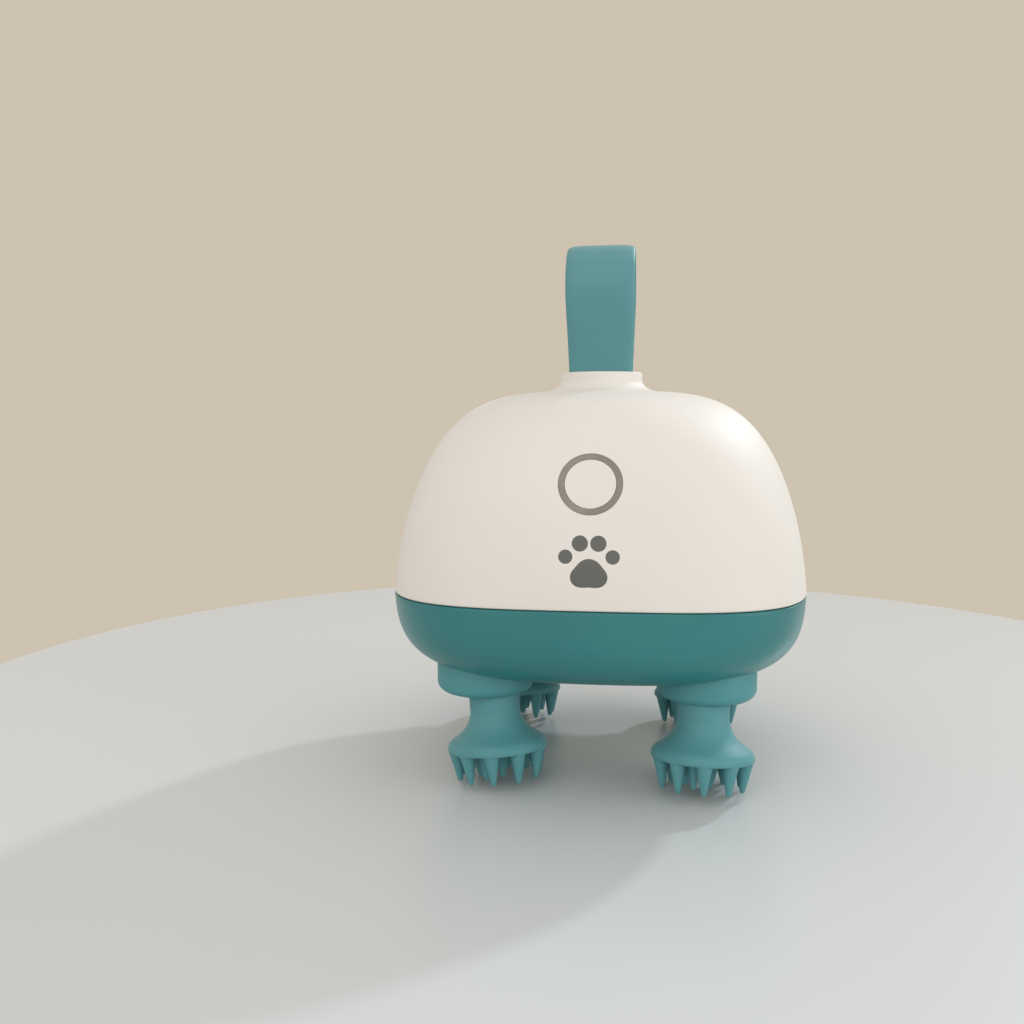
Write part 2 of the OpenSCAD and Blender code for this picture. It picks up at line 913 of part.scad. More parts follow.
module switch_plunger() {
  color(ring_grey)
    at_button()
      deep_disc(stem_r + 0.1, plunger_depth, switch_depth + 1);
}

module indicator_lights() {
  light_ring = (ring_r + ring_flange_r) / 2;
  color(gear_white)
    at_button()
      for (a = [45:90:315])
        rotate([0, 0, a])
          translate([light_ring - 0.8, -0.8, -board_depth])
            cube([1.6, 1.6, 0.8]);
}

module port_cover() {
  color(cream) {
    intersection() {
      dome_form();
      at_port()
        cover_form(0, cover_t);
    }
    at_port()
      deep_slot(slot_w - 0.7, slot_h - 0.7, cover_t - 0.2, cover_t + plug_l);
  }
}

module charge_socket() {
  color(steel)
    at_port() {
      difference() {
        deep_slot(socket_w, socket_h, socket_depth, charge_board_depth);
        deep_slot(socket_w - 0.6, socket_h - 0.6, 0, socket_depth + socket_l - 1);
      }
      translate([0, 0, -charge_board_depth + 0.5])
        block(6.7, 0.7, 0, socket_l - 1);
    }
}

module charge_board() {
  color(board_green)
    difference() {
      at_port()
        translate([0, 0, -charge_board_depth - charge_board_t])
          block(2 * charge_screw_x + 4.6, 8, 0, charge_board_t - seat_gap);
      small_screw_holes();
    }
}

module battery_cell() {
  color(cell_blue)
    translate([-cell_l / 2, cell_y, cell_z])
      rotate([0, 90, 0]) {
        cylinder(r = cell_r, h = cell_l - 1);
        cylinder(r = 2.8, h = cell_l);
      }
}

module battery_cradle() {
  length = cell_l + 2 * cradle_wall + 1;
  depth = 2 * cell_r + 2 * cradle_wall;
  color(frame_grey)
    difference() {
      union() {
        translate([0, cell_y, 0]) {
          block(length, depth, plate_top, cradle_h);
          block(2 * cradle_screw_x + 4.6, 6, plate_top, cradle_tab_t);
        }
      }
      translate([-cell_l / 2 - 0.5, cell_y, cell_z])
        rotate([0, 90, 0])
          cylinder(r = cell_r + seat_gap, h = cell_l + 1);
      small_screw_holes();
    }
}

// Smooth path through points, in steps between each two of them
function smooth(points, steps) = let (last = len(points) - 1) concat(
  [
    for (i = [0:last - 1], k = [0:steps - 1])
      let (
        t = k / steps,
        a = points[max(i - 1, 0)],
        b = points[i],
        c = points[i + 1],
        d = points[min(i + 2, last)]
      )
        b + t / 2 * (c - a + t * (2 * a - 5 * b + 4 * c - d + t * (3 * (b - c) + d - a)))
  ],
  [points[last]]
);

wire_r = 0.6;
wire_step = 1.5;

// Wire along a smooth path that nowhere runs along X
module wire(points) {
  path = smooth(points, 3);
  last = len(path) - 1;
  loft([
    for (i = [0:last])
      let (
        along = path[min(i + 1, last)] - path[max(i - 1, 0)],
        side = cross(along, [1, 0, 0]) / norm(cross(along, [1, 0, 0])),
        up = cross(along / norm(along), side)
      )
        [for (a = [0:60:300]) path[i] + wire_r * (cos(a) * side + sin(a) * up)]
  ]);
}

// Two wires side by side
module wire_pair(points) {
  wire(points);
  wire([for (p = points) p - [wire_step, 0, 0]]);
}

// A point on the inner face of the circuit board, from its middle
function on_board(x, up, out) = let (
  lean = dome_lean(button_up),
  depth = board_depth + board_t + out
) [
  x,
  -dome_half(button_up) + depth * cos(lean) + up * sin(lean),
  button_z - depth * sin(lean) + up * cos(lean)
];

module battery_leads() {
  color(copper_red)
    wire_pair([
      [cell_l / 2 - 3, cell_y - 7.6, cell_z + 6.4],
      [cell_l / 2 - 4, cell_y - 16, cell_z + 7],
      [22, -2, cell_z + 9],
      [19, -18, cell_z + 6],
      on_board(board_w / 2 - 7, 7, 3),
      on_board(board_w / 2 - 7, 7, 0.3)
    ]);
}

module motor_leads() {
  color(copper_red)
    wire_pair([
      [-4, -9, plate_top + motor_l + 0.2],
      [-4, -9.6, plate_top + motor_l + 2],
      [-5, -14, plate_top + motor_l + 1],
      [-7, -19, plate_top + motor_l - 4],
      on_board(-9, 9, 3),
      on_board(-9, 9, 0.3)
    ]);
}

module charge_leads() {
  lead_top = cell_z + cell_r + 2;
  color(copper_red)
    wire_pair([
      [-3, cell_y + cell_r + 1.8, port_z + 3],
      [-4, cell_y + cell_r + 0.6, cell_z + 8],
      [-6, cell_y + 3, lead_top],
      [-12, cell_y - 14, lead_top],
      [-17, -14, lead_top - 3],
      on_board(-board_w / 2 + 6, 8, 3),
      on_board(-board_w / 2 + 6, 8, 0.3)
    ]);
}

module motor_can() {
  color(steel)
    difference() {
      union() {
        translate([0, 0, plate_top])
          cylinder(r = motor_r, h = motor_l);
        translate([0, 0, plate_z])
          cylinder(r = 3, h = plate_t + 1);
      }
      translate([0, 0, plate_z - 1])
        cylinder(r = motor_shaft_r + run_gap, h = motor_l + plate_t + 2, $fn = 24);
      small_screw_holes();
    }
}

// Hexagonal bar, or the tool for a hexagonal hole
module hex_bar(r, z1, z2) {
  translate([0, 0, z1])
    cylinder(r = r, h = z2 - z1, $fn = 6);
}

module motor_shaft() {
  color(steel) {
    translate([0, 0, plate_z - end_play])
      cylinder(r = motor_shaft_r, h = motor_l + plate_t + 1.2, $fn = 24);
    hex_bar(motor_shaft_r, first_z - 0.4, plate_z);
  }
}

// Angle of roll of an involute at the pressure angle a, in degrees
function roll(a) = tan(a) * 180 / PI - a;

// Outline of a spur gear, tooth 0 at the given turn
function gear_points(module_size, teeth, backlash, turn) = let (
  pitch_r = module_size * teeth / 2,
  base_r = pitch_r * cos(pressure_angle),
  tip_r = pitch_r + 0.8 * module_size,
  root_r = pitch_r - 1.2 * module_size,
  half_pitch = 90 / teeth - backlash / 4 / pitch_r * 180 / PI + roll(pressure_angle),
  flank_r = max(base_r, root_r),
  flank = [for (i = [0:3]) flank_r + (tip_r - flank_r) * i / 3],
  side = concat(
    root_r < base_r ? [[root_r, half_pitch]] : [],
    [for (r = flank) [r, half_pitch - roll(acos(min(1, base_r / r)))]]
  ),
  last = len(side) - 1
) [
  for (k = [0:teeth - 1], i = [0:2 * last + 1])
    let (
      s = side[i <= last ? i : 2 * last + 1 - i],
      a = turn + 360 * k / teeth + (i <= last ? -s[1] : s[1])
    )
      [s[0] * cos(a), s[0] * sin(a)]
];

module gear(module_size, teeth, backlash, turn, z, h) {
  translate([0, 0, z])
    linear_extrude(h)
      polygon(gear_points(module_size, teeth, backlash, turn));
}

// Turn of a gear that meshes with another one, seen from the other one in the direction towards it
function mesh_turn(direction, from_turn, from_teeth, to_teeth) =
  direction + 180 + 180 / to_teeth - (from_turn - direction) * from_teeth / to_teeth;

// Faceted hub round a hexagonal hole
module hub(r, z1, z2) {
  translate([0, 0, z1])
    cylinder(r = r, h = z2 - z1, $fn = 12);
}

centre_hex_r = centre_pin_r + 1.6;
second_hex_r = second_pin_r + 1;
first_hex_r = first_pin_r + 0.8;
shaft_hex_r = shaft_r - 0.1;

module centre_gear() {
  color(gear_white)
    difference() {
      union() {
        gear(main_module, centre_teeth, main_backlash, 0, gear_z, gear_t);
        hub(centre_hex_r + 2, gear_z - 0.6, gear_z);
      }
      hex_bar(centre_hex_r + seat_gap, gear_z - 2, gear_top + 1);
    }
}

centre_bush_z = gear_z - end_play - 1;
centre_bush_top = gear_top + 0.2;

module centre_bush() {
  color(bronze)
    difference() {
      hex_bar(centre_hex_r, centre_bush_z, centre_bush_top);
      translate([0, 0, centre_bush_z - 1])
        cylinder(r = centre_pin_r + run_gap, h = gear_t + 4);
    }
}

second_pinion_turn = mesh_turn(90, 0, centre_teeth, second_pinion_teeth);
first_from_second = atan2(first_y - second_y, first_x);
first_pinion_turn = mesh_turn(first_from_second, 0, second_teeth, first_pinion_teeth);
motor_from_first = atan2(-first_y, -first_x);
motor_pinion_turn = mesh_turn(motor_from_first, 0, first_teeth, motor_teeth);

module second_wheel() {
  color(gear_white)
    translate([0, second_y, 0])
      difference() {
        union() {
          gear(main_module, second_pinion_teeth, main_backlash, second_pinion_turn, gear_z, gear_t + 1);
          hub(second_hex_r + 1, gear_top + 0.5, plate_z - end_play);
          gear(fine_module, second_teeth, fine_backlash, 0, second_z, fine_t);
        }
        hex_bar(second_hex_r + seat_gap, gear_z - 1, plate_z);
      }
}

module second_bush() {
  color(bronze)
    translate([0, second_y, 0])
      difference() {
        hex_bar(second_hex_r, gear_z - end_play, plate_z - end_play);
        translate([0, 0, gear_z - 1])
          cylinder(r = second_pin_r + run_gap, h = gear_room + 2, $fn = 24);
      }
}

module first_wheel() {
  color(gear_white)
    translate([first_x, first_y, 0])
      difference() {
        union() {
          gear(fine_module, first_pinion_teeth, fine_backlash, first_pinion_turn, first_pinion_z, fine_pinion_l);
          gear(fine_module, first_teeth, fine_backlash, 0, first_z, fine_t);
          hub(first_hex_r + 1.2, first_z + 1, first_top);
        }
        hex_bar(first_hex_r + seat_gap, first_pinion_z - 1, first_top + 1);
      }
}

module first_bush() {
  color(bronze)
    translate([first_x, first_y, 0])
      difference() {
        hex_bar(first_hex_r, first_pinion_z, first_top);
        translate([0, 0, first_pinion_z - 1])
          cylinder(r = first_pin_r + run_gap, h = gear_room, $fn = 24);
      }
}

module motor_pinion() {
  color(bronze)
    difference() {
      gear(fine_module, motor_teeth, fine_backlash, motor_pinion_turn, first_z - 0.2, fine_t + 0.2);
      hex_bar(motor_shaft_r + seat_gap, first_z - 1, plate_z);
    }
}

module axle_pins() {
  color(steel) {
    // centre gear's pin, with a head that keeps the gear down
    translate([0, 0, floor_z + wall + seat_gap])
      cylinder(r = centre_pin_r, h = centre_bush_top + end_play + 0.5 - floor_z - wall);
    translate([0, 0, centre_bush_top + end_play])
      cylinder(r = centre_pin_r + 1.3, h = 1);
    // second wheel's pin, from the floor to the chassis plate
    translate([0, second_y, floor_z + wall + seat_gap])
      cylinder(r = second_pin_r, h = plate_top - floor_z - wall - seat_gap, $fn = 24);
    // first wheel's pin, hung from the chassis plate, with a head that carries the wheel
    translate([first_x, first_y, first_pinion_z - end_play - 0.7]) {
      cylinder(r = first_pin_r, h = plate_top - first_pinion_z + end_play + 0.7, $fn = 24);
      cylinder(r = first_pin_r + 1, h = 0.7, $fn = 24);
    }
  }
}

plate_half = cavity_r - 4.8;

module chassis_plate() {
  color(frame_grey)
    difference() {
      translate([0, 0, plate_z])
        linear_extrude(plate_t)
          polygon(squircle(plate_half, squareness - 0.3, inner_count));
      // notches for the posts of the long screws
      for (p = case_screw_places) {
        translate([p[0], p[1], plate_z - 1])
          cylinder(r = post_r + 0.8, h = plate_t + 2);
        translate([p[0] > 0 ? p[0] : -body_r, p[1] - post_r - 0.8, plate_z - 1])
          cube([body_r - case_screw_x, 2 * post_r + 1.6, plate_t + 2]);
      }
      // seats of the upper bushes, the motor's nose and the pins
      at_units()
        translate([0, 0, plate_z - 1])
          cylinder(r = shaft_top_r + 1.8 + seat_gap, h = plate_t + 2);
      translate([0, 0, plate_z - 1])
        cylinder(r = 3 + seat_gap, h = plate_t + 2);
      translate([0, second_y, plate_z - 1])
        cylinder(r = second_pin_r + seat_gap, h = plate_t + 2, $fn = 24);
      translate([first_x, first_y, plate_z - 1])
        cylinder(r = first_pin_r + seat_gap, h = plate_t + 2, $fn = 24);
      small_screw_holes();
    }
}

// The four output units: back right, back left, front left, front right
unit_angles = [45, 135, 225, 315];

// Places children at one unit, local X pointing away from the middle
module at_unit(i) {
  rotate([0, 0, unit_angles[i]])
    translate([output_dist, 0, 0])
      children();
}

module at_units() {
  for (i = [0:3])
    at_unit(i)
      children();
}

// Turn of a unit's disc at rest, from straight outwards to the direction of its head's lean
function rest_turn(i) = [lean_br, lean_bl, lean_fl, lean_fr][i] - unit_angles[i];

// Places children on a unit's head axle, z = 0 at the disc's underside
module on_axle(i) {
  rotate([0, 0, rest_turn(i)])
    translate([-axle_offset, 0, disc_z])
      rotate([0, tilt, 0])
        children();
}

module lower_bushes() {
  color(bronze)
    at_units()
      difference() {
        translate([0, 0, bush_z + seat_gap])
          cylinder(r = bush_r, h = bush_l - seat_gap);
        translate([0, 0, bush_z - 1])
          cylinder(r = shaft_r + run_gap, h = bush_l + 2);
      }
}

module lip_seals() {
  color(seal_black)
    at_units()
      difference() {
        translate([0, 0, pocket_z])
          cylinder(r = bush_r, h = lip_seal_t);
        translate([0, 0, pocket_z - 1])
          cylinder(r = shaft_r + run_gap, h = lip_seal_t + 2);
      }
}

module upper_bushes() {
  color(bronze)
    at_units()
      difference() {
        translate([0, 0, plate_z])
          cylinder(r = shaft_top_r + 1.8, h = plate_t);
        translate([0, 0, plate_z - 1])
          cylinder(r = shaft_top_r + run_gap, h = plate_t + 2);
      }
}

module output_gear(i) {
  turn = mesh_turn(unit_angles[i], 0, centre_teeth, output_teeth) - unit_angles[i];
  color(gear_white)
    at_unit(i)
      difference() {
        union() {
          gear(main_module, output_teeth, main_backlash, turn, gear_z, gear_t);
          hub(shaft_r + 1.3, gear_top - 0.5, plate_z - end_play);
        }
        hex_bar(shaft_hex_r + seat_gap, gear_z - 1, plate_z);
      }
}

shaft_end_z = disc_z + 3.1;
disc_top = pocket_z - disc_gap;

module output_shaft(i) {
  color(steel)
    at_unit(i) {
      translate([0, 0, shaft_end_z])
        cylinder(r = shaft_r, h = gear_z - shaft_end_z);
      hex_bar(shaft_hex_r, gear_z - 0.5, plate_z - end_play);
      translate([0, 0, plate_z - 1])
        cylinder(r = shaft_top_r, h = plate_t + 1 - end_play);
    }
}

// Half section of the drive disc, with a round lower edge
function disc_section() = concat(
  [[0, disc_z]],
  [
    for (a = [0:15:90])
      [disc_r - disc_round + disc_round * sin(a), disc_z + disc_round - disc_round * cos(a)]
  ],
  [[disc_r, disc_top - 0.4], [disc_r - 0.4, disc_top], [0, disc_top]]
);

recess_top = neck_in + disc_gap - 0.1;
core_end = neck_in - 0.1;

module drive_disc(i) {
  color(head_teal)
    at_unit(i) {
      difference() {
        rotate_extrude()
          polygon(disc_section());
        on_axle(i)
          translate([0, 0, -3])
            cylinder(r = neck_r + 0.1 + disc_gap, h = recess_top + 3);
        translate([0, 0, shaft_end_z - seat_gap])
          cylinder(r = shaft_r + seat_gap, h = disc_top - shaft_end_z + 1);
      }
      on_axle(i)
        translate([0, 0, -stub_len])
          cylinder(r = stub_r, h = stub_len + recess_top + 0.2);
    }
}

stub_len = neck_len - 4.5;

// Half section of the hard core, heights from the rim's lower plane
core_floor = 1.3;
core_flange_t = 1.4;

module head_core(i) {
  color(frame_grey)
    at_unit(i)
      on_axle(i)
        translate([0, 0, -neck_len])
          difference() {
            union() {
              translate([0, 0, core_floor])
                cylinder(r = core_flange_r, h = core_flange_t);
              translate([0, 0, core_floor])
                cylinder(r = core_r, h = neck_len + core_end - core_floor);
            }
            translate([0, 0, core_floor + 2.7])
              cylinder(r = stub_r + run_gap, h = neck_len + 5);
          }
}

// Half section of the silicone bell, heights from the rim's lower plane
function bell_section() = concat(
  [[0, 0], [rim_r - 0.3, 0], [rim_r, 0.3], [rim_r, 1.1], [rim_r - 0.2, 1.6]],
  curve([rim_r - 0.5, 2.1], [rim_r - 1.5, flare_h * 0.4], [neck_r + 0.6, flare_h * 0.54], [neck_r, flare_h], 8),
  [[neck_r + 0.1, neck_len + neck_in - 0.4], [neck_r - 0.2, neck_len + neck_in], [0, neck_len + neck_in]]
);

// Tapered claw from its root on the rim's plane to its tip
module claw(root, tip, length) {
  sunk = 0.8;
  lean = atan2(root - tip, length);
  translate([tip, 0, -length])
    rotate([0, lean, 0])
      cylinder(r1 = claw_tip_r, r2 = claw_root_r, h = (length + sunk) / cos(lean), $fn = 20);
}

module massage_head(i) {
  // claw turn that puts one claw of every head straight to the front
  first_claw = 270 - unit_angles[i] - rest_turn(i);
  color(head_teal)
    difference() {
      at_unit(i)
        on_axle(i)
          translate([0, 0, -neck_len])
            difference() {
              union() {
                rotate_extrude()
                  polygon(bell_section());
                for (k = [0:outer_claws - 1])
                  rotate([0, 0, first_claw + 360 * k / outer_claws])
                    claw(outer_root, outer_tip, claw_len);
                for (k = [0:inner_claws - 1])
                  rotate([0, 0, first_claw + 18 + 360 * k / inner_claws])
                    claw(inner_ring, inner_ring, claw_len - 1);
              }
              // cavity of the core
              translate([0, 0, core_floor - seat_gap])
                cylinder(r = core_flange_r + seat_gap, h = core_flange_t + 2 * seat_gap);
              translate([0, 0, core_floor])
                cylinder(r = core_r + seat_gap, h = neck_len + 5);
            }
      // the table, which flattens the lowest claws
      block(4 * body_w, 4 * body_w, -10, 10);
    }
}

upper_shell();
lower_shell();
shell_seal();
strap();
strap_clamp();
button_ring();
power_button();
button_seal();
paw_mark();
circuit_board();
switch_body();
switch_plunger();
indicator_lights();
port_cover();
charge_socket();
charge_board();
battery_cell();
battery_cradle();
battery_leads();
motor_leads();
charge_leads();
motor_can();
motor_shaft();
motor_pinion();
chassis_plate();
first_wheel();
first_bush();
second_wheel();
second_bush();
centre_gear();
centre_bush();
axle_pins();
lower_bushes();
upper_bushes();
lip_seals();
frame_screws();
case_screws();
output_gear(0);  // output_gear_br
output_gear(1);  // output_gear_bl
output_gear(2);  // output_gear_fl
output_gear(3);  // output_gear_fr
output_shaft(0);  // output_shaft_br
output_shaft(1);  // output_shaft_bl
output_shaft(2);  // output_shaft_fl
output_shaft(3);  // output_shaft_fr
drive_disc(0);  // drive_disc_br
drive_disc(1);  // drive_disc_bl
drive_disc(2);  // drive_disc_fl
drive_disc(3);  // drive_disc_fr
head_core(0);  // head_core_br
head_core(1);  // head_core_bl
head_core(2);  // head_core_fl
head_core(3);  // head_core_fr
massage_head(0);  // massage_head_br
massage_head(1);  // massage_head_bl
massage_head(2);  // massage_head_fl
massage_head(3);  // massage_head_fr
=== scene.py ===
import json
import math

import bmesh
import bpy
from mathutils import Matrix, Vector


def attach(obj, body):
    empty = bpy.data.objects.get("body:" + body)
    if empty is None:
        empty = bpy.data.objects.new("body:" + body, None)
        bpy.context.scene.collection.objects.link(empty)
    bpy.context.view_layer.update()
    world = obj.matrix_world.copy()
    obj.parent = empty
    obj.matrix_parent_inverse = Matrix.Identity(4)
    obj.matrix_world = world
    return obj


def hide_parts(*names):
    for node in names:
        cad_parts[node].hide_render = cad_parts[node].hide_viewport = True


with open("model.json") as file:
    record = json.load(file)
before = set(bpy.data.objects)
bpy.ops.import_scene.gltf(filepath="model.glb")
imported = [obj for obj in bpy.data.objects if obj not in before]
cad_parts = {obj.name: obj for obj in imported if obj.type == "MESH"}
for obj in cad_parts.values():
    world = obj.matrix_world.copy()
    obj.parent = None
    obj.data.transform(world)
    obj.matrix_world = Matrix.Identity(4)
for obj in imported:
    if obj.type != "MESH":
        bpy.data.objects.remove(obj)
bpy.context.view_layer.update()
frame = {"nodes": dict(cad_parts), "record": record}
scene = bpy.context.scene
scene.view_settings.view_transform = "Standard"

# Sizes in millimetres, as in the part's source, but for the looks given last
# Shells
BODY_HALF = 50.5
DOME_H = 48.6
BASE_H = 20.4
WALL = 2.2
SEAM_SQUARE = 3.5
CROWN_SQUARE = 2.0
FLOOR_SQUARE = 2.8
DOME_SIDE, DOME_CROWN = 4.4, 1.75
BOWL_SIDE, BOWL_FLOOR = 3.5, 2.85
FLAT_HALF = 20.0
SEAM_GAP = 0.4
COLLAR_R, COLLAR_H = 10.5, 5.0
FILLET_W, FILLET_H = 5.9, 3.0
LIP_GAP, LIP_T, LIP_LOW, LIP_HIGH = 0.4, 1.4, -2.4, 2.6
POCKET_DEPTH, POCKET_GAP, POCKET_WALL = 5.2, 0.4, 2.3
BUSH_BOSS_R, BUSH_BOSS_H, BUSH_HOLE_R = 6.6, 4.5, 5.02
SCREW_X, SCREW_Y, SCREW_HEAD_Z = 38, 7, 6
SCREW_BOSS_R, SCREW_HEAD_R, SCREW_HOLE_R = 4.4, 2.95, 1.52
# Strap
STRAP_H, STRAP_T = 32.4, 2.4
STRAND_Y, LOOP_R = 5.0, 10.5
STRAP_FOOT = 6.0
SLOT_GAP, SLOT_CORNER, SLOT_LOW, SLOT_HIGH = 0.2, 0.8, 80, 110
# Ring, button, mark and charging port
BUTTON_UP, RING_R, RING_DEPTH, BUTTON_DEPTH, BUTTON_GAP = 27.5, 7.1, 3.5, 4.5, 0.05
MARK_UP, MARK_LIFT = 10.9, 0.025
PORT_UP, COVER_W, COVER_H, COVER_T, COVER_CORNER = 11.5, 14.6, 8.6, 1.5, 0.5
RECESS_GAP, RECESS_DEPTH = 0.3, 1.6
PORT_BLOCK_W, PORT_BLOCK_H, PORT_BLOCK_DEPTH = 19.6, 12.6, 4.6
SOCKET_W, SOCKET_H, PLUG_W, PLUG_H = 9.4, 3.7, 8.7, 3.0
# Drive discs and heads
OUTPUT_DIST = 37.5
DISC_R, DISC_ROUND, DISC_SHOW, DISC_EDGE = 11.7, 2.4, 3.5, 0.4
TILT, AXLE_OFFSET, STUB_R, STUB_END = math.radians(8), 3.8, 2.5, 4.5
NECK_LEN, NECK_IN, NECK_R, RIM_R, FLARE_H = 13.6, 1.3, 6.0, 12.0, 9.0
CLAW_LEN, OUTER_CLAWS, INNER_CLAWS = 6.9, 10, 5
CLAW_TIP_R = 0.55
OUTER_TIP, INNER_RING, INNER_TURN = 9.5, 5.0, 18
UNITS = {"br": 45, "bl": 135, "fl": 225, "fr": 315}
LEANS = {"br": 90, "bl": 110, "fl": 130, "fr": 80}
# Looks that differ from the solids: a narrower seam with its seal further out, rounder edges, a
# wider strap foot and ring, thicker claw roots, and short claws between the rings
SEAL_INSET, DOME_REACH, BOWL_REACH = 0.45, 0.08, 0.06
DOME_EDGE, BOWL_EDGE, COLLAR_EDGE, TRIM_EDGE = 0.4, 0.25, 0.4, 0.12
STRAP_BASE_W, STRAP_TOP_W, STRAP_WIDE = 16.0, 17.2, 0.6
RING_W = 1.42
CLAW_ROOT_R, OUTER_ROOT, INNER_WIDE, MIDDLE_WIDE = 1.95, 10.05, 0.3, -0.2
MIDDLE_RING, INNER_SHORT, MIDDLE_SHORT, CENTRE_SHORT = 7.0, 1.0, 0.8, 1.3
SKIN_VOXEL, QUICK_VOXEL = 0.24, 0.5

# Heights above the table
disc_z = (
    (NECK_LEN + CLAW_LEN) * math.cos(TILT) + (OUTER_TIP + CLAW_TIP_R) * math.sin(TILT) - 0.2
)
floor_z = disc_z + DISC_SHOW
seam_z = floor_z + BASE_H
pocket_z = floor_z + POCKET_DEPTH
shoulder_angle = math.acos(((COLLAR_R + FILLET_W) / BODY_HALF) ** (DOME_SIDE / 2))
shoulder_z = seam_z + DOME_H * math.sin(shoulder_angle) ** (2 / DOME_CROWN)
collar_top = shoulder_z + COLLAR_H
strap_top = collar_top + STRAP_H


# Camera of the photograph
def make_camera():
    """Solved from the photograph: pixels, millimetres and radians."""
    pixels, sensor = 1024, 36
    focal, distance, height = 1008.4, 265.4, 86.8
    swing, pan, pitch, roll = 0.0507, 0.0882, 0.0913, -0.0029
    turn = swing + pan
    forward = Vector((
        -math.sin(turn) * math.cos(pitch),
        math.cos(turn) * math.cos(pitch),
        -math.sin(pitch),
    ))
    level = Vector((math.cos(turn), math.sin(turn), 0))
    upright = level.cross(forward)
    right = level * math.cos(roll) + upright * math.sin(roll)
    up = right.cross(forward)
    data = bpy.data.cameras.new("photo_camera")
    data.sensor_width = sensor
    data.lens = focal / pixels * sensor
    data.clip_start, data.clip_end = 0.01, 20
    camera = bpy.data.objects.new("photo_camera", data)
    scene.collection.objects.link(camera)
    place = Matrix((right, up, -forward)).transposed().to_4x4()
    place.translation = Vector((
        math.sin(swing) * distance,
        -math.cos(swing) * distance,
        height,
    )) / 1000
    camera.matrix_world = place
    scene.camera = camera


make_camera()


# Mesh helpers, all in millimetres until an object is made
def circle(count):
    """Cosine and sine of each point round a circle."""
    return [
        (math.cos(2 * math.pi * i / count), math.sin(2 * math.pi * i / count))
        for i in range(count)
    ]


def round_edge(radius, edge, angles, top=0.0, side=1):
    """Radius and height along a quarter round below a top, outside or, with side -1, inside."""
    turns = [math.radians(a) for a in angles]
    return [
        (radius - side * edge * (1 - math.cos(a)), top - edge * (1 - math.sin(a))) for a in turns
    ]


def grid_faces(rows, count):
    """Faces between rows of points, each row a closed loop."""
    faces = []
    for r in range(rows - 1):
        for i in range(count):
            j = (i + 1) % count
            a, b = r * count, (r + 1) * count
            faces.append((a + i, a + j, b + j, b + i))
    return faces


def make_object(name, vertices, faces, place=None):
    mesh = bpy.data.meshes.new(name)
    mesh.from_pydata([tuple(v) for v in vertices], [], faces)
    mesh.update()
    made = bpy.data.objects.new(name, mesh)
    scene.collection.objects.link(made)
    if place is not None:
        mesh.transform(place)
    return made


def loft(name, rows, place=None):
    """Closed solid through the rows, with a flat end at the first and the last."""
    count = len(rows[0])
    faces = grid_faces(len(rows), count)
    faces.append(tuple(range(count - 1, -1, -1)))
    faces.append(tuple((len(rows) - 1) * count + i for i in range(count)))
    return make_object(name, [p for row in rows for p in row], faces, place)


def tube(name, rows):
    """Closed ring through the rows, where the last joins the first."""
    count = len(rows[0])
    faces = grid_faces(len(rows), count)
    last = (len(rows) - 1) * count
    faces += [(last + i, last + (i + 1) % count, (i + 1) % count, i) for i in range(count)]
    return make_object(name, [p for row in rows for p in row], faces)


def lathe(name, profile, count=96, place=None):
    """Closed solid round Z, from radius and height of each row."""
    turns = circle(count)
    return loft(name, [[(r * c, r * s, z) for c, s in turns] for r, z in profile], place)


def rod(radius, low, high, place=None, count=96):
    return lathe("rod", [(radius, low), (radius, high)], count, place)


def rounded_box(width, height, low, high, corner):
    """Rows of a box with round upright corners, between two heights."""
    outline = []
    for cx, cy, start in ((1, 1, 0), (-1, 1, 90), (-1, -1, 180), (1, -1, 270)):
        for k in range(7):
            a = math.radians(start + 15 * k)
            outline.append((
                cx * (width / 2 - corner) + corner * math.cos(a),
                cy * (height / 2 - corner) + corner * math.sin(a),
            ))
    return [[(x, y, z) for x, y in outline] for z in (low, high)]


def capsule(width, height, low, high, place):
    return loft("capsule", rounded_box(width, height, low, high, height / 2 - 0.001), place)


def boolean(target, tool, operation="DIFFERENCE"):
    """Cut the tool from the target, or join it to it, and remove the tool."""
    modifier = target.modifiers.new("shape", "BOOLEAN")
    modifier.operation = operation
    modifier.solver = "MANIFOLD"
    modifier.object = tool
    graph = bpy.context.evaluated_depsgraph_get()
    mesh = bpy.data.meshes.new_from_object(target.evaluated_get(graph))
    target.modifiers.clear()
    old = target.data
    target.data = mesh
    bpy.data.meshes.remove(old)
    bpy.data.objects.remove(tool)
    return target


def join(name, parts):
    """One object from several that don't meet."""
    made = bmesh.new()
    for part in parts:
        made.from_mesh(part.data)
    mesh = bpy.data.meshes.new(name)
    made.to_mesh(mesh)
    made.free()
    for part in parts:
        bpy.data.objects.remove(part)
    joined = bpy.data.objects.new(name, mesh)
    scene.collection.objects.link(joined)
    return joined


def smooth_in_metres(piece, sharp):
    piece.data.transform(Matrix.Scale(0.001, 4))
    piece.data.polygons.foreach_set("use_smooth", [True] * len(piece.data.polygons))
    piece.data.set_sharp_from_angle(angle=math.radians(sharp))


def finish_piece(piece, material, body, node, sharp=35):
    """Smooth and dress a piece, and let it stand for its node on the node's body."""
    smooth_in_metres(piece, sharp)
    piece.data.materials.clear()
    piece.data.materials.append(material)
    piece.data.update()
    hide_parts(node)
    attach(piece, body)


# Surface of the body
def superellipse(half, power, z, count=240):
    """A row of points round a circle (power 2) or a square with very round corners (above 2)."""
    row = []
    for i in range(count):
        a = 2 * math.pi * i / count
        c, s = abs(math.cos(a)), abs(math.sin(a))
        r = half / (c**power + s**power) ** (1 / power)
        row.append((r * math.cos(a), r * math.sin(a), z))
    return row


def dome_half(up):
    """Half the dome's width at a height above the seam."""
    return BODY_HALF * (1 - (up / DOME_H) ** DOME_CROWN) ** (1 / DOME_SIDE)


def dome_lean(up):
    return math.atan(dome_half(up - 0.5) - dome_half(up + 0.5))


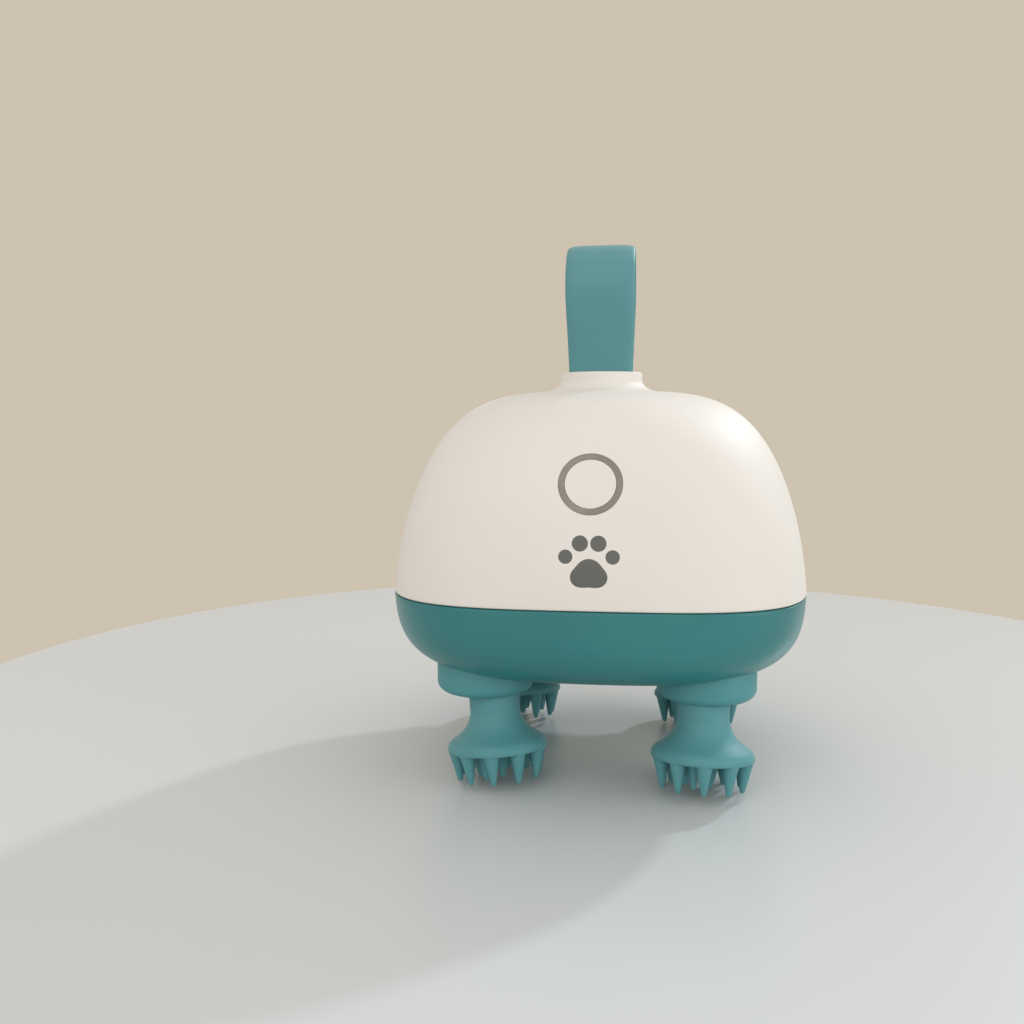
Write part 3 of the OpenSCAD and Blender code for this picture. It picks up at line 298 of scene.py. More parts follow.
def dome_power(up, height=DOME_H):
    return SEAM_SQUARE + (CROWN_SQUARE - SEAM_SQUARE) * up / height


def dome_row(up, inset=0.0, half=BODY_HALF, height=DOME_H, count=240):
    width = half * max(0.0, 1 - (up / height) ** DOME_CROWN) ** (1 / DOME_SIDE)
    return superellipse(width - inset, dome_power(up, height), seam_z + up, count)


def outside(x, y, z):
    """Above 0 where a point lies outside the dome."""
    up = z - seam_z
    power = dome_power(up)
    return (abs(x) ** power + abs(y) ** power) ** (1 / power) - dome_half(up)


def surface_frame(up, back=False):
    """A frame on the front or back of the dome, its Z out of the surface and its Y up it."""
    lean = dome_lean(up)
    place = Matrix.Translation((0, -dome_half(up), seam_z + up)) @ Matrix.Rotation(
        math.pi / 2 - lean, 4, "X"
    )
    return Matrix.Rotation(math.pi, 4, "Z") @ place if back else place


def on_dome(place, x, y, lift):
    """The point of the dome over x, y of a surface frame, lifted along the frame's own Z."""
    low, high = -8.0, 3.0
    for _ in range(30):
        middle = (low + high) / 2
        if outside(*(place @ Vector((x, y, middle)))) > 0:
            high = middle
        else:
            low = middle
    return place @ Vector((x, y, (low + high) / 2 + lift))


# Procedural materials
def linear(red, green, blue):
    def part(v):
        v /= 255
        return v / 12.92 if v <= 0.04045 else ((v + 0.055) / 1.055) ** 2.4

    return (part(red), part(green), part(blue), 1.0)


def new_group(name, inputs, outputs):
    group = bpy.data.node_groups.new(name, "ShaderNodeTree")
    for label, kind, value in inputs:
        socket = group.interface.new_socket(name=label, in_out="INPUT", socket_type=kind)
        if value is not None:
            socket.default_value = value
    for label, kind in outputs:
        group.interface.new_socket(name=label, in_out="OUTPUT", socket_type=kind)
    entry = group.nodes.new("NodeGroupInput")
    leave = group.nodes.new("NodeGroupOutput")
    return group, entry, leave


def add(tree, kind, settings=None, values=None):
    made = tree.nodes.new(kind)
    for key, value in (settings or {}).items():
        setattr(made, key, value)
    for key, value in (values or {}).items():
        made.inputs[key].default_value = value
    return made


def build_moulding_group():
    """Fine spark-eroded grain over the slow waves that a moulded surface shows in a reflection."""
    group, entry, leave = new_group(
        "moulded_grain",
        [
            ("Grain Scale", "NodeSocketFloat", 4000.0),
            ("Grain Share", "NodeSocketFloat", 0.5),
            ("Wave Scale", "NodeSocketFloat", 60.0),
            ("Rough Low", "NodeSocketFloat", 0.3),
            ("Rough High", "NodeSocketFloat", 0.4),
        ],
        [("Height", "NodeSocketFloat"), ("Roughness", "NodeSocketFloat")],
    )
    link = group.links.new
    place = add(group, "ShaderNodeTexCoord")
    grain = add(group, "ShaderNodeTexNoise", None, {"Detail": 3.0, "Roughness": 0.6})
    wave = add(group, "ShaderNodeTexNoise", None, {"Detail": 2.0, "Roughness": 0.5})
    mix = add(group, "ShaderNodeMix", {"data_type": "FLOAT"})
    spread = add(group, "ShaderNodeMapRange", None, {"From Min": 0.3, "From Max": 0.7})
    link(place.outputs["Object"], grain.inputs["Vector"])
    link(place.outputs["Object"], wave.inputs["Vector"])
    link(entry.outputs["Grain Scale"], grain.inputs["Scale"])
    link(entry.outputs["Wave Scale"], wave.inputs["Scale"])
    link(entry.outputs["Grain Share"], mix.inputs["Factor"])
    link(wave.outputs["Fac"], mix.inputs["A"])
    link(grain.outputs["Fac"], mix.inputs["B"])
    link(mix.outputs["Result"], leave.inputs["Height"])
    link(wave.outputs["Fac"], spread.inputs["Value"])
    link(entry.outputs["Rough Low"], spread.inputs["To Min"])
    link(entry.outputs["Rough High"], spread.inputs["To Max"])
    link(spread.outputs["Result"], leave.inputs["Roughness"])
    return group


def build_tone_group():
    """Slow shift between two tones, with faint handling marks in the lighter one."""
    group, entry, leave = new_group(
        "tone_shift",
        [
            ("Tone A", "NodeSocketColor", None),
            ("Tone B", "NodeSocketColor", None),
            ("Patch Scale", "NodeSocketFloat", 25.0),
            ("Mark Scale", "NodeSocketFloat", 900.0),
            ("Mark Share", "NodeSocketFloat", 0.1),
        ],
        [("Color", "NodeSocketColor")],
    )
    link = group.links.new
    place = add(group, "ShaderNodeTexCoord")
    patch = add(group, "ShaderNodeTexNoise", None, {"Detail": 2.0})
    mark = add(group, "ShaderNodeTexNoise", None, {"Detail": 6.0, "Roughness": 0.7})
    blend = add(group, "ShaderNodeMix", {"data_type": "FLOAT"})
    ramp = add(group, "ShaderNodeMapRange", None, {"From Min": 0.35, "From Max": 0.65})
    tone = add(group, "ShaderNodeMix", {"data_type": "RGBA"})
    link(place.outputs["Object"], patch.inputs["Vector"])
    link(place.outputs["Object"], mark.inputs["Vector"])
    link(entry.outputs["Patch Scale"], patch.inputs["Scale"])
    link(entry.outputs["Mark Scale"], mark.inputs["Scale"])
    link(entry.outputs["Mark Share"], blend.inputs["Factor"])
    link(patch.outputs["Fac"], blend.inputs["A"])
    link(mark.outputs["Fac"], blend.inputs["B"])
    link(blend.outputs["Result"], ramp.inputs["Value"])
    link(ramp.outputs["Result"], tone.inputs["Factor"])
    link(entry.outputs["Tone A"], tone.inputs["A"])
    link(entry.outputs["Tone B"], tone.inputs["B"])
    link(tone.outputs["Result"], leave.inputs["Color"])
    return group


moulding_group = build_moulding_group()
tone_group = build_tone_group()


def make_material(
    name,
    tone_a,
    tone_b,
    rough,
    metallic=0.0,
    grain=4000.0,
    bump=0.00002,
    coat=0.0,
    sheen=0.0,
    patch=25.0,
    specular=0.5,
):
    """A moulded or plated finish between two close tones and two values of roughness."""
    material = bpy.data.materials.new(name)
    material.use_nodes = True
    tree = material.node_tree
    shader = tree.nodes["Principled BSDF"]
    shader.inputs["Metallic"].default_value = metallic
    shader.inputs["Specular IOR Level"].default_value = specular
    shader.inputs["Coat Weight"].default_value = coat
    shader.inputs["Coat Roughness"].default_value = 0.12
    shader.inputs["Sheen Weight"].default_value = sheen
    shader.inputs["Sheen Roughness"].default_value = 0.4
    surface = add(tree, "ShaderNodeGroup", {"node_tree": moulding_group}, {
        "Grain Scale": grain,
        "Rough Low": rough[0],
        "Rough High": rough[1],
    })
    tone = add(tree, "ShaderNodeGroup", {"node_tree": tone_group}, {
        "Tone A": linear(*tone_a),
        "Tone B": linear(*tone_b),
        "Patch Scale": patch,
    })
    relief = add(tree, "ShaderNodeBump", None, {"Strength": 0.6, "Distance": bump})
    tree.links.new(surface.outputs["Height"], relief.inputs["Height"])
    tree.links.new(surface.outputs["Roughness"], shader.inputs["Roughness"])
    tree.links.new(tone.outputs["Color"], shader.inputs["Base Color"])
    tree.links.new(relief.outputs["Normal"], shader.inputs["Normal"])
    return material


materials = {
    "cream_plastic": make_material(
        "cream_satin_shell", (234, 226, 217), (237, 230, 222), (0.5, 0.58), specular=0.35
    ),
    "teal_plastic": make_material(
        "teal_satin_shell", (41, 121, 123), (46, 127, 128), (0.34, 0.42), coat=0.15
    ),
    "disc_plastic": make_material(
        "teal_matte_disc", (74, 144, 149), (80, 150, 154), (0.42, 0.52)
    ),
    "teal_silicone": make_material(
        "teal_head_silicone", (84, 149, 154), (90, 155, 160), (0.5, 0.62), sheen=0.12
    ),
    "strap_silicone": make_material(
        "teal_strap_silicone", (83, 144, 150), (89, 150, 155), (0.45, 0.55), sheen=0.15
    ),
    "ring_plastic": make_material(
        "grey_ring_trim", (137, 127, 117), (150, 140, 129), (0.28, 0.36), coat=0.1, patch=140.0
    ),
    "mark_print": make_material(
        "grey_mark_print", (96, 96, 92), (103, 103, 99), (0.4, 0.5), bump=0.000005
    ),
    "seal_rubber": make_material("dark_seal_rubber", (38, 52, 54), (45, 60, 62), (0.6, 0.7)),
    "seam_rubber": make_material("teal_seam_rubber", (36, 92, 93), (42, 100, 100), (0.6, 0.7)),
    "steel": make_material(
        "plated_steel", (186, 188, 192), (200, 202, 205), (0.2, 0.3), metallic=1.0, grain=2500.0
    ),
    "bronze": make_material(
        "sintered_bronze", (178, 140, 92), (190, 152, 104), (0.35, 0.5), metallic=1.0, grain=6000.0
    ),
    "gear_plastic": make_material("natural_acetal", (236, 236, 228), (242, 242, 236), (0.3, 0.4)),
    "board": make_material("green_solder_mask", (26, 92, 56), (30, 102, 64), (0.25, 0.35)),
    "frame_plastic": make_material(
        "grey_frame_plastic", (112, 116, 119), (122, 126, 129), (0.4, 0.5)
    ),
    "cell_sleeve": make_material("blue_cell_sleeve", (52, 106, 158), (60, 116, 168), (0.25, 0.35)),
    "light_diffuser": make_material("milky_diffuser", (240, 240, 234), (246, 246, 242), (0.4, 0.5)),
    "lead_sleeve": make_material("red_lead_sleeve", (176, 52, 40), (186, 60, 48), (0.45, 0.55)),
}

# The pieces inside keep their solids' shape and only take their material
slots = {s["node"]: s["material_slot"] for s in frame["record"]["subparts"]}
for node_name, node_object in frame["nodes"].items():
    node_object.data.materials.clear()
    node_object.data.materials.append(materials[slots[node_name]])


# Upper shell
button_place = surface_frame(BUTTON_UP)
mark_place = surface_frame(MARK_UP)
port_place = surface_frame(PORT_UP, back=True)


def dome_rows():
    """Outside of the dome: its lower edge, its side, the fillet and the collar."""
    low = SEAM_GAP / 2 - DOME_REACH
    rows = []
    for angle in (0, 22.5, 45, 67.5):
        a = math.radians(angle)
        rows.append(dome_row(
            low + DOME_EDGE - DOME_EDGE * math.cos(a), DOME_EDGE * (1 - math.sin(a))
        ))
    steps = 72
    first = math.asin(((low + DOME_EDGE) / DOME_H) ** (DOME_CROWN / 2))
    for i in range(steps + 1):
        a = first + (shoulder_angle - first) * i / steps
        rows.append(dome_row(DOME_H * math.sin(a) ** (2 / DOME_CROWN)))
    for k in range(1, 17):
        a = math.radians(90 * k / 16)
        rows.append(superellipse(
            COLLAR_R + FILLET_W * (1 - math.sin(a)), 2, shoulder_z + FILLET_H * (1 - math.cos(a))
        ))
    rows.append(superellipse(COLLAR_R, 2, collar_top - COLLAR_EDGE))
    for radius, z in round_edge(COLLAR_R, COLLAR_EDGE, range(15, 91, 15), collar_top):
        rows.append(superellipse(radius, 2, z))
    return rows


def dome_cavity():
    half, height, top_half, steps = BODY_HALF - WALL, DOME_H - WALL, 15, 24
    last = math.acos((top_half / half) ** (DOME_SIDE / 2))
    rows = [superellipse(half, SEAM_SQUARE, seam_z - 2, 96)]
    for i in range(steps + 1):
        up = height * math.sin(last * i / steps) ** (2 / DOME_CROWN)
        rows.append(dome_row(up, 0, half, height, 96))
    cavity = loft("cavity", rows)
    block = rounded_box(PORT_BLOCK_W, PORT_BLOCK_H, -PORT_BLOCK_DEPTH, 3, COVER_CORNER)
    return boolean(cavity, loft("port_block", block, port_place))


def make_dome():
    shell = loft("dome_shell", dome_rows())
    boolean(shell, dome_cavity())
    slot = rounded_box(
        STRAP_BASE_W + SLOT_GAP, STRAP_T + SLOT_GAP, SLOT_LOW, SLOT_HIGH, SLOT_CORNER
    )
    for side in (-1, 1):
        boolean(shell, loft("slot", slot, Matrix.Translation((0, side * STRAND_Y, 0))))
    boolean(shell, rod(RING_R + 0.02, -8, 4, button_place, 128))
    recess = rounded_box(
        COVER_W + RECESS_GAP, COVER_H + RECESS_GAP, -RECESS_DEPTH, 3, COVER_CORNER + RECESS_GAP / 2
    )
    boolean(shell, loft("recess", recess, port_place))
    return boolean(shell, capsule(SOCKET_W, SOCKET_H, -8, 1, port_place))


finish_piece(make_dome(), materials["cream_plastic"], "housing", "upper_shell")


# Lower shell
def bowl_rows(inset, steps, count):
    """Rows from the flat floor up to the seam, set in by a wall for the inside."""
    rows = []
    for i in range(steps + 1):
        a = math.pi / 2 * (1 - i / steps)
        drop = math.sin(a) ** (2 / BOWL_FLOOR)
        side = math.cos(a) ** (2 / BOWL_SIDE) if a < math.pi / 2 else 0.0
        rows.append(superellipse(
            FLAT_HALF + (BODY_HALF - FLAT_HALF - inset) * side,
            SEAM_SQUARE + (FLOOR_SQUARE - SEAM_SQUARE) * drop,
            seam_z - (BASE_H - inset) * drop,
            count,
        ))
    return rows


def bowl_outside():
    """The bowl's rows, the last ones round over its upper edge."""
    low = seam_z - SEAM_GAP / 2 + BOWL_REACH - BOWL_EDGE
    rows = [row for row in bowl_rows(0, 56, 240) if row[0][2] < low - 0.05]
    for k in range(5):
        a = math.radians(22.5 * k)
        rows.append(superellipse(
            BODY_HALF - BOWL_EDGE * (1 - math.cos(a)), SEAM_SQUARE, low + BOWL_EDGE * math.sin(a)
        ))
    return rows


def unit_place(unit):
    """The axis of a drive disc, on the table."""
    return Matrix.Rotation(math.radians(UNITS[unit]), 4, "Z") @ Matrix.Translation(
        (OUTPUT_DIST, 0, 0)
    )


def make_bowl():
    shell = loft("lower_bowl", bowl_outside())
    cavity = loft("cavity", bowl_rows(WALL, 24, 96))
    for unit in UNITS:
        place = unit_place(unit)
        boolean(cavity, rod(DISC_R + POCKET_WALL, floor_z - 1, pocket_z + 2, place))
        boolean(cavity, rod(BUSH_BOSS_R, floor_z - 1, pocket_z + BUSH_BOSS_H, place))
    screws = [
        Matrix.Translation((x, y, 0))
        for x in (-SCREW_X, SCREW_X)
        for y in (-SCREW_Y, SCREW_Y)
    ]
    for place in screws:
        boolean(cavity, rod(SCREW_BOSS_R, floor_z - 1, seam_z + 1, place, 48))
    boolean(shell, cavity)
    for unit in UNITS:
        place = unit_place(unit)
        boolean(shell, rod(DISC_R + POCKET_GAP, floor_z - 5, pocket_z, place, 128))
        boolean(shell, rod(BUSH_HOLE_R, pocket_z - 1, pocket_z + 8, place))
    for place in screws:
        boolean(shell, rod(SCREW_HEAD_R, floor_z - 3, floor_z + SCREW_HEAD_Z, place, 48))
        boolean(shell, rod(SCREW_HOLE_R, floor_z + SCREW_HEAD_Z - 1, seam_z + 2, place, 32))
    lip_outer = BODY_HALF - WALL - LIP_GAP
    lip_inner = lip_outer - LIP_T
    lip = loft("lip", [
        superellipse(lip_outer, SEAM_SQUARE, seam_z + z, 120) for z in (LIP_LOW, LIP_HIGH)
    ])
    boolean(lip, loft("lip_hole", [
        superellipse(lip_inner, SEAM_SQUARE, seam_z + z, 120) for z in (-4, 4)
    ]))
    return boolean(shell, lip, "UNION")


finish_piece(make_bowl(), materials["teal_plastic"], "housing", "lower_shell")


def make_seal():
    outer, inner, edge = BODY_HALF - SEAL_INSET, BODY_HALF - WALL, 0.1
    low, high = seam_z - SEAM_GAP / 2, seam_z + SEAM_GAP / 2
    section = [(inner, low), (outer - edge, low), (outer, low + edge)]
    section += [(outer, high - edge), (outer - edge, high), (inner, high)]
    return tube("seam_seal", [superellipse(half, SEAM_SQUARE, z) for half, z in section])


finish_piece(make_seal(), materials["seam_rubber"], "housing", "shell_seal")


# Ring, button, mark and cover, which follow the dome
def ring_rows(place, profile, count=160):
    """Rows round a surface frame, from radius and lift above the dome."""
    turns = circle(count)
    return [[on_dome(place, r * x, r * y, lift) for x, y in turns] for r, lift in profile]


def make_ring():
    outer, inner, crown = RING_R, RING_R - RING_W, 0.02
    profile = [(outer, -RING_DEPTH), (outer, -TRIM_EDGE)]
    profile += round_edge(outer, TRIM_EDGE, (30, 60, 90))
    profile += [(outer - RING_W / 2, crown)]
    profile += round_edge(inner, TRIM_EDGE, (90, 60, 30), side=-1)
    profile += [(inner, -TRIM_EDGE), (inner, -RING_DEPTH)]
    return tube("button_trim", ring_rows(button_place, profile))


def make_button():
    radius = RING_R - RING_W - BUTTON_GAP
    profile = [(radius, -BUTTON_DEPTH), (radius, -TRIM_EDGE)]
    profile += round_edge(radius, TRIM_EDGE, (22.5, 45, 67.5, 90))
    profile += [(radius * k / 10, 0) for k in range(9, 0, -1)]
    return loft("button_cap", ring_rows(button_place, profile))


finish_piece(make_ring(), materials["ring_plastic"], "housing", "button_ring")
finish_piece(make_button(), materials["cream_plastic"], "button", "power_button")


def pad_rows(circles, count=72):
    """Outline of joined circles as seen from their middle, then rows over its edge and top."""
    cx = sum(c[0] for c in circles) / len(circles)
    cy = sum(c[1] for c in circles) / len(circles)
    reaches = []
    turns = circle(count)
    for dx, dy in turns:
        reach = 0.0
        for x, y, r in circles:
            along = (x - cx) * dx + (y - cy) * dy
            away = (x - cx) ** 2 + (y - cy) ** 2 - along**2
            if away < r * r:
                reach = max(reach, along + math.sqrt(r * r - away))
        reaches.append(reach)
    for _ in range(8):
        reaches = [
            (reaches[i - 1] + 2 * r + reaches[(i + 1) % count]) / 4 for i, r in enumerate(reaches)
        ]
    outline = [(r * dx, r * dy) for r, (dx, dy) in zip(reaches, turns)]
    steps = [(1, -0.3), (1, 0.0), (0.985, 0.02)]
    steps += [(share, MARK_LIFT) for share in (0.8, 0.5, 0.2)]
    return [
        [on_dome(mark_place, cx + x * share, cy + y * share, lift) for x, y in outline]
        for share, lift in steps
    ]


def make_mark():
    """A palm of five joined circles and four toes, as x, y and radius round the mark's middle."""
    pads = [[
        (0, -2.4, 3.0), (-1.9, -3.4, 2.2), (1.9, -3.4, 2.2), (-0.9, -3.0, 2.6), (0.9, -3.0, 2.6),
    ]]
    pads += [[(-5.1, 1, 1.55)], [(5.1, 1, 1.55)], [(-2, 3.9, 1.75)], [(2, 3.9, 1.75)]]
    return join("paw_print", [loft("pad", pad_rows(pad)) for pad in pads])


finish_piece(make_mark(), materials["mark_print"], "housing", "paw_mark")


def make_cover():
    """A flap that follows the dome, round along its hinge line, with its plug behind."""
    edge = 0.15
    base = rounded_box(COVER_W, COVER_H, 0, 0, COVER_CORNER)[0]
    rows = []
    # the inset of each row and its lift above the dome, with none for the flat back
    for inset, lift in ((0.1, None), (0, -COVER_T + 0.1), (0, -edge), (0.05, -0.04), (edge, 0)):
        kx, ky = 1 - 2 * inset / COVER_W, 1 - 2 * inset / COVER_H
        row = []
        for x, y, _ in base:
            if lift is None:
                row.append(port_place @ Vector((x * kx, y * ky, -COVER_T)))
            elif lift < -1:
                row.append(port_place @ Vector((x, y, lift)))
            else:
                row.append(on_dome(port_place, x * kx, y * ky, lift))
        rows.append(row)
    for share in (0.8, 0.6, 0.4, 0.2):
        rows.append([on_dome(port_place, x * share, y * share, 0) for x, y, _ in base])
    flap = loft("charging_flap", rows)
    hinge_y, hinge_r = -COVER_H / 2 + COVER_T / 2, COVER_T / 2
    back = port_place.inverted()
    for vertex in flap.data.vertices:
        p = back @ vertex.co
        if p.y < hinge_y:
            away = Vector((p.y - hinge_y, p.z + hinge_r))
            if away.length > hinge_r:
                away *= hinge_r / away.length
                vertex.co = port_place @ Vector((p.x, hinge_y + away.x, -hinge_r + away.y))
    plug = capsule(PLUG_W, PLUG_H, -COVER_T - 1, -COVER_T + 0.3, port_place)
    return boolean(flap, plug, "UNION")


finish_piece(make_cover(), materials["cream_plastic"], "cover", "port_cover")


# Strap
def strap_path():
    """Middle line from the front foot over the top to the back foot, as y and z."""
    arc_z = strap_top - STRAP_T / 2 - LOOP_R
    rise, steps = arc_z - collar_top, 28
    side = [(-STRAND_Y, collar_top - STRAP_FOOT), (-STRAND_Y, collar_top - STRAP_FOOT / 2)]
    for i in range(steps + 1):
        share = i / steps
        out = STRAND_Y + (LOOP_R - STRAND_Y) * (3 * share**2 - 2 * share**3)
        side.append((-out, collar_top + share * rise))
    for angle in range(5, 91, 5):
        a = math.radians(angle)
        side.append((-LOOP_R * math.cos(a), arc_z + LOOP_R * math.sin(a)))
    return side + [(-y, z) for y, z in reversed(side[:-1])]


def make_strap():
    """A band along the middle line that widens upwards, its section an oblong with soft edges."""
    path = strap_path()
    wide_z = collar_top + STRAP_H * STRAP_WIDE
    half_t, turns = STRAP_T / 2, circle(56)
    flat, soft = 0.3, 0.9
    rows = []
    for i, (y, z) in enumerate(path):
        y0, z0 = path[max(i - 1, 0)]
        y1, z1 = path[min(i + 1, len(path) - 1)]
        length = math.hypot(y1 - y0, z1 - z0)
        ty, tz = (y1 - y0) / length, (z1 - z0) / length
        ny, nz = -tz, ty
        share = min(1.0, max(0.0, (z - collar_top) / (wide_z - collar_top)))
        half_w = (STRAP_BASE_W + (STRAP_TOP_W - STRAP_BASE_W) * share) / 2
        row = []
        for c, s in turns:
            x = half_w * math.copysign(abs(c) ** flat, c)
            n = half_t * math.copysign(abs(s) ** soft, s)
            row.append((x, y + ny * n, z + nz * n))
        rows.append(row[::-1])
    return loft("finger_strap", rows)


finish_piece(make_strap(), materials["strap_silicone"], "housing", "strap", 50)


# Drive discs
def axle_place(unit):
    """The leaning stub axle of a disc, at the disc's face."""
    return (
        unit_place(unit)
        @ Matrix.Rotation(math.radians(LEANS[unit] - UNITS[unit]), 4, "Z")
        @ Matrix.Translation((-AXLE_OFFSET, 0, disc_z))
        @ Matrix.Rotation(TILT, 4, "Y")
    )


def make_disc(unit):
    """A disc with a round lower edge, the dish that the neck runs in, and the stub axle."""
    top = pocket_z - POCKET_GAP
    profile = []
    for angle in range(0, 91, 6):
        a = math.radians(angle)
        profile.append((
            DISC_R - DISC_ROUND + DISC_ROUND * math.sin(a),
            disc_z + DISC_ROUND - DISC_ROUND * math.cos(a),
        ))
    profile += [(DISC_R, top - DISC_EDGE), (DISC_R - 0.12, top - 0.12), (DISC_R - DISC_EDGE, top)]
    disc = lathe("disc_" + unit, profile, 160, unit_place(unit))
    boolean(disc, rod(NECK_R + 0.5, -3, NECK_IN + 0.3, axle_place(unit), 128))
    stub = rod(STUB_R, STUB_END - NECK_LEN, NECK_IN + 0.5, axle_place(unit), 64)
    return boolean(disc, stub, "UNION")


for unit in UNITS:
    finish_piece(
        make_disc(unit),
        materials["disc_plastic"], "rotor_" + unit, "drive_disc_" + unit,
    )


# Massage heads
def bell_profile():
    """Radius and height from the claw face over the rim and the late flare to the neck's end."""
    profile = [(0.5, 0), (RIM_R - 0.3, 0), (RIM_R - 0.09, 0.09), (RIM_R, 0.3), (RIM_R, 1.1)]
    profile += [(RIM_R - 0.07, 1.35), (RIM_R - 0.22, 1.65)]
    points = [
        Vector((RIM_R - 0.5, 2.1)),
        Vector((RIM_R - 1.2, FLARE_H * 0.36)),
        Vector((NECK_R + 0.8, FLARE_H * 0.44)),
        Vector((NECK_R, FLARE_H)),
    ]
    steps = 24
    for i in range(steps + 1):
        t = i / steps
        u = 1 - t
        shares = (u**3, 3 * u * u * t, 3 * u * t * t, t**3)
        p = sum((share * point for share, point in zip(shares, points)), Vector((0, 0)))
        profile.append((p.x, p.y))
    end = NECK_LEN + NECK_IN
    return profile + [(NECK_R + 0.05, end - 0.4), (NECK_R - 0.05, end - 0.1), (NECK_R - 0.3, end)]


def claw_rows(root, tip, length, angle, wide):
    """A tapered claw with a round tip, set in 0.5 at its root and thicker there by wide.

    Root and tip are the distances of its two ends from the head's axis.
    """
    cap_h, steps = 0.35, 14
    rows = []
    for degrees in (25, 50, 75):
        a = math.radians(degrees)
        rows.append((tip, CLAW_TIP_R * math.sin(a), -length + cap_h * (1 - math.cos(a))))
    for i in range(steps + 1):
        t = i / steps
        z = -length + (length + 0.5) * t
        if z > -length + cap_h + 0.05:
            radius = CLAW_TIP_R + (CLAW_ROOT_R + wide - CLAW_TIP_R) * t
            rows.append((tip + (root - tip) * t, radius, z))
    turn = Matrix.Rotation(angle, 4, "Z")
    turns = circle(28)
    return [[turn @ Vector((m + r * c, r * s, z)) for c, s in turns] for m, r, z in rows]


def make_head_mesh():
    """The bell joined to its rings of claws, under one skin with soft corners."""
    claws = [
        (OUTER_ROOT, OUTER_TIP, CLAW_LEN, 2 * math.pi * k / OUTER_CLAWS, 0.0)
        for k in range(OUTER_CLAWS)
    ]
    for k in range(INNER_CLAWS):
        angle = math.radians(INNER_TURN) + 2 * math.pi * k / INNER_CLAWS
        claws.append((INNER_RING, INNER_RING, CLAW_LEN - INNER_SHORT, angle, INNER_WIDE))
        angle += math.pi / INNER_CLAWS
        claws.append((MIDDLE_RING, MIDDLE_RING, CLAW_LEN - MIDDLE_SHORT, angle, MIDDLE_WIDE))
    claws.append((0.0, 0.0, CLAW_LEN - CENTRE_SHORT, 0.0, INNER_WIDE))
    body = lathe("bell", bell_profile(), 128)
    for claw in claws:
        boolean(body, loft("claw", claw_rows(*claw)), "UNION")
    remesh = body.modifiers.new("skin", "REMESH")
    remesh.mode = "VOXEL"
    remesh.voxel_size = SKIN_VOXEL
    smooth = body.modifiers.new("soften", "SMOOTH")
    smooth.factor, smooth.iterations = 0.5, 2
    graph = bpy.context.evaluated_depsgraph_get()
    mesh = bpy.data.meshes.new_from_object(body.evaluated_get(graph))
    bpy.data.objects.remove(body)
    return mesh


head_mesh = make_head_mesh()


def make_head(unit, first_claw):
    """One head on its axle, its first claw turned to an angle and its tips on the table."""
    place = (
        axle_place(unit)
        @ Matrix.Translation((0, 0, -NECK_LEN))
        @ Matrix.Rotation(math.radians(first_claw), 4, "Z")
    )
    mesh = head_mesh.copy()
    mesh.transform(place)
    lowest = 0.01
    for vertex in mesh.vertices:
        vertex.co.z = max(vertex.co.z, lowest)
    head = bpy.data.objects.new("head_" + unit, mesh)
    scene.collection.objects.link(head)
    return head


for unit in UNITS:
    finish_piece(
        make_head(unit, 270 - LEANS[unit]),
        materials["teal_silicone"], "head_" + unit, "massage_head_" + unit, 80,
    )


# Table, background and light
def make_table():
    """A round top whose far edge lies where the photograph's does."""
    radius, thick, edge, middle = 219.0, 14.0, 3.0, (-1.5, 60, -0.04)
    profile = [(radius - 10, -thick), (radius - 3, -thick)]
    profile += round_edge(radius, edge, range(0, 91, 15))
    table = lathe("table_top", profile, 240, Matrix.Translation(middle))
    smooth_in_metres(table, 40)
    material = bpy.data.materials.new("pale_table")
    material.use_nodes = True
    shader = material.node_tree.nodes["Principled BSDF"]
    shader.inputs["Base Color"].default_value = linear(212, 213, 212)
    shader.inputs["Roughness"].default_value = 0.3
    table.data.materials.append(material)


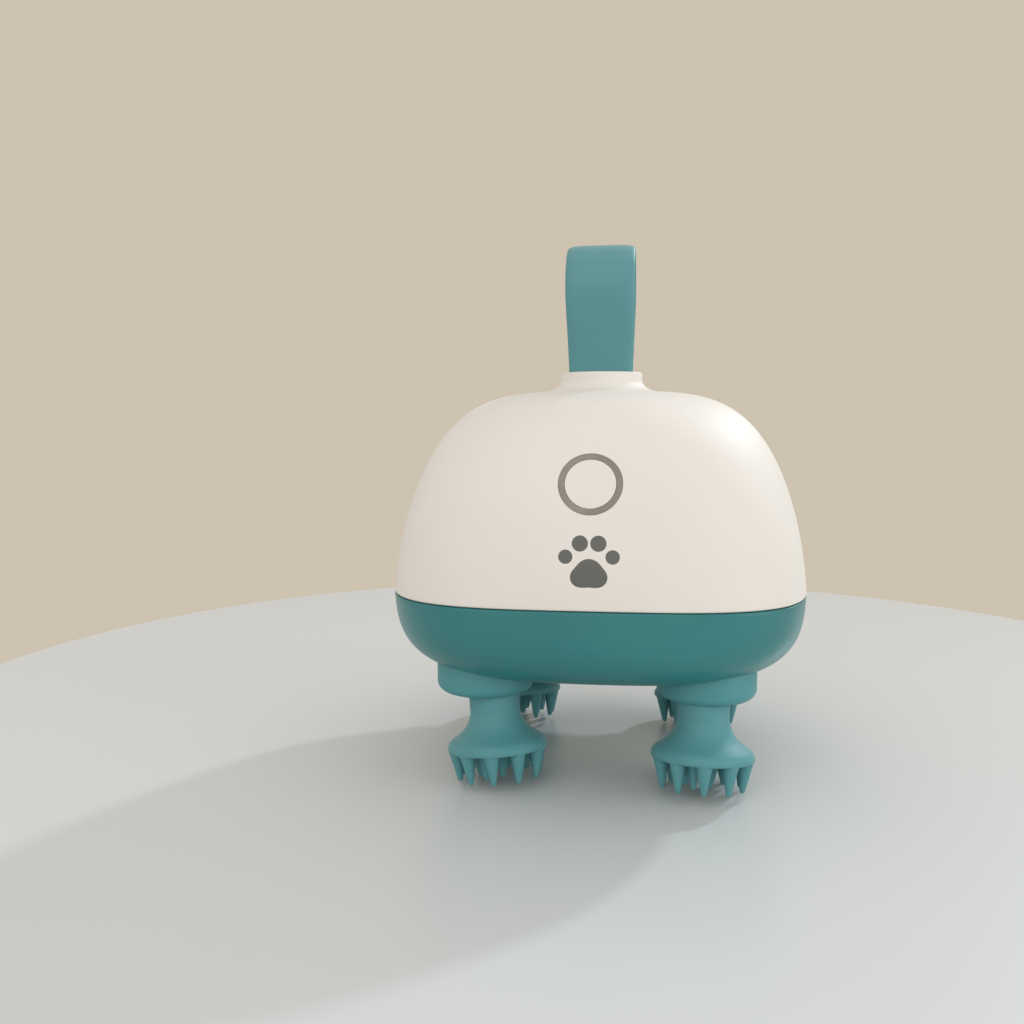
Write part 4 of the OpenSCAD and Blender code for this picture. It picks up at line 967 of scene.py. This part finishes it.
def make_world():
    """Even room light, and the wall's colour where the camera or a reflection sees it."""
    world = bpy.data.worlds.new("room")
    scene.world = world
    world.use_nodes = True
    tree = world.node_tree
    tree.nodes.clear()
    out = add(tree, "ShaderNodeOutputWorld")
    ambient = add(tree, "ShaderNodeBackground", None, {
        "Color": (1.0, 1.0, 0.985, 1.0),
        "Strength": 0.7,
    })
    shown = add(tree, "ShaderNodeBackground", None, {
        "Color": linear(206, 194, 176),
        "Strength": 1.0,
    })
    path = add(tree, "ShaderNodeLightPath")
    pick = add(tree, "ShaderNodeMixShader")
    seen = path.outputs["Is Camera Ray"]
    for ray in ("Is Glossy Ray", "Is Transmission Ray"):
        either = add(tree, "ShaderNodeMath", {"operation": "MAXIMUM"})
        tree.links.new(seen, either.inputs[0])
        tree.links.new(path.outputs[ray], either.inputs[1])
        seen = either.outputs[0]
    tree.links.new(seen, pick.inputs[0])
    tree.links.new(ambient.outputs[0], pick.inputs[1])
    tree.links.new(shown.outputs[0], pick.inputs[2])
    tree.links.new(pick.outputs[0], out.inputs["Surface"])


def make_light(name, kind, place, target, power, colour):
    data = bpy.data.lights.new(name, kind)
    data.energy = power
    data.color = colour
    light = bpy.data.objects.new(name, data)
    scene.collection.objects.link(light)
    light.location = place
    light.rotation_euler = (Vector(target) - Vector(place)).to_track_quat("-Z", "Y").to_euler()
    return data


def area_light(name, place, target, size, power, colour):
    data = make_light(name, "AREA", place, target, power, colour)
    data.shape = "DISK"
    data.size = size


def window_light(direction, strength, softness, colour):
    data = make_light("window_light", "SUN", direction, (0, 0, 0), strength, colour)
    data.angle = math.radians(softness)


make_table()
make_world()
window_light((0.506, 0.675, 0.537), strength=1.0, softness=3.5, colour=(0.78, 0.9, 1.0))
area_light(
    "right_box", (1.5, -0.6, 0.4), (0, 0, 0.06), size=1.5, power=6.5, colour=(0.9, 0.98, 1.0)
)
area_light(
    "front_box", (-0.3, -1.3, 0.95), (0, 0, 0.03), size=1.6, power=4.8, colour=(1.0, 0.98, 0.95)
)
area_light(
    "ceiling_box", (0.2, 0.3, 1.8), (0, 0, 0.06), size=2.0, power=2.5, colour=(1.0, 0.98, 0.96)
)
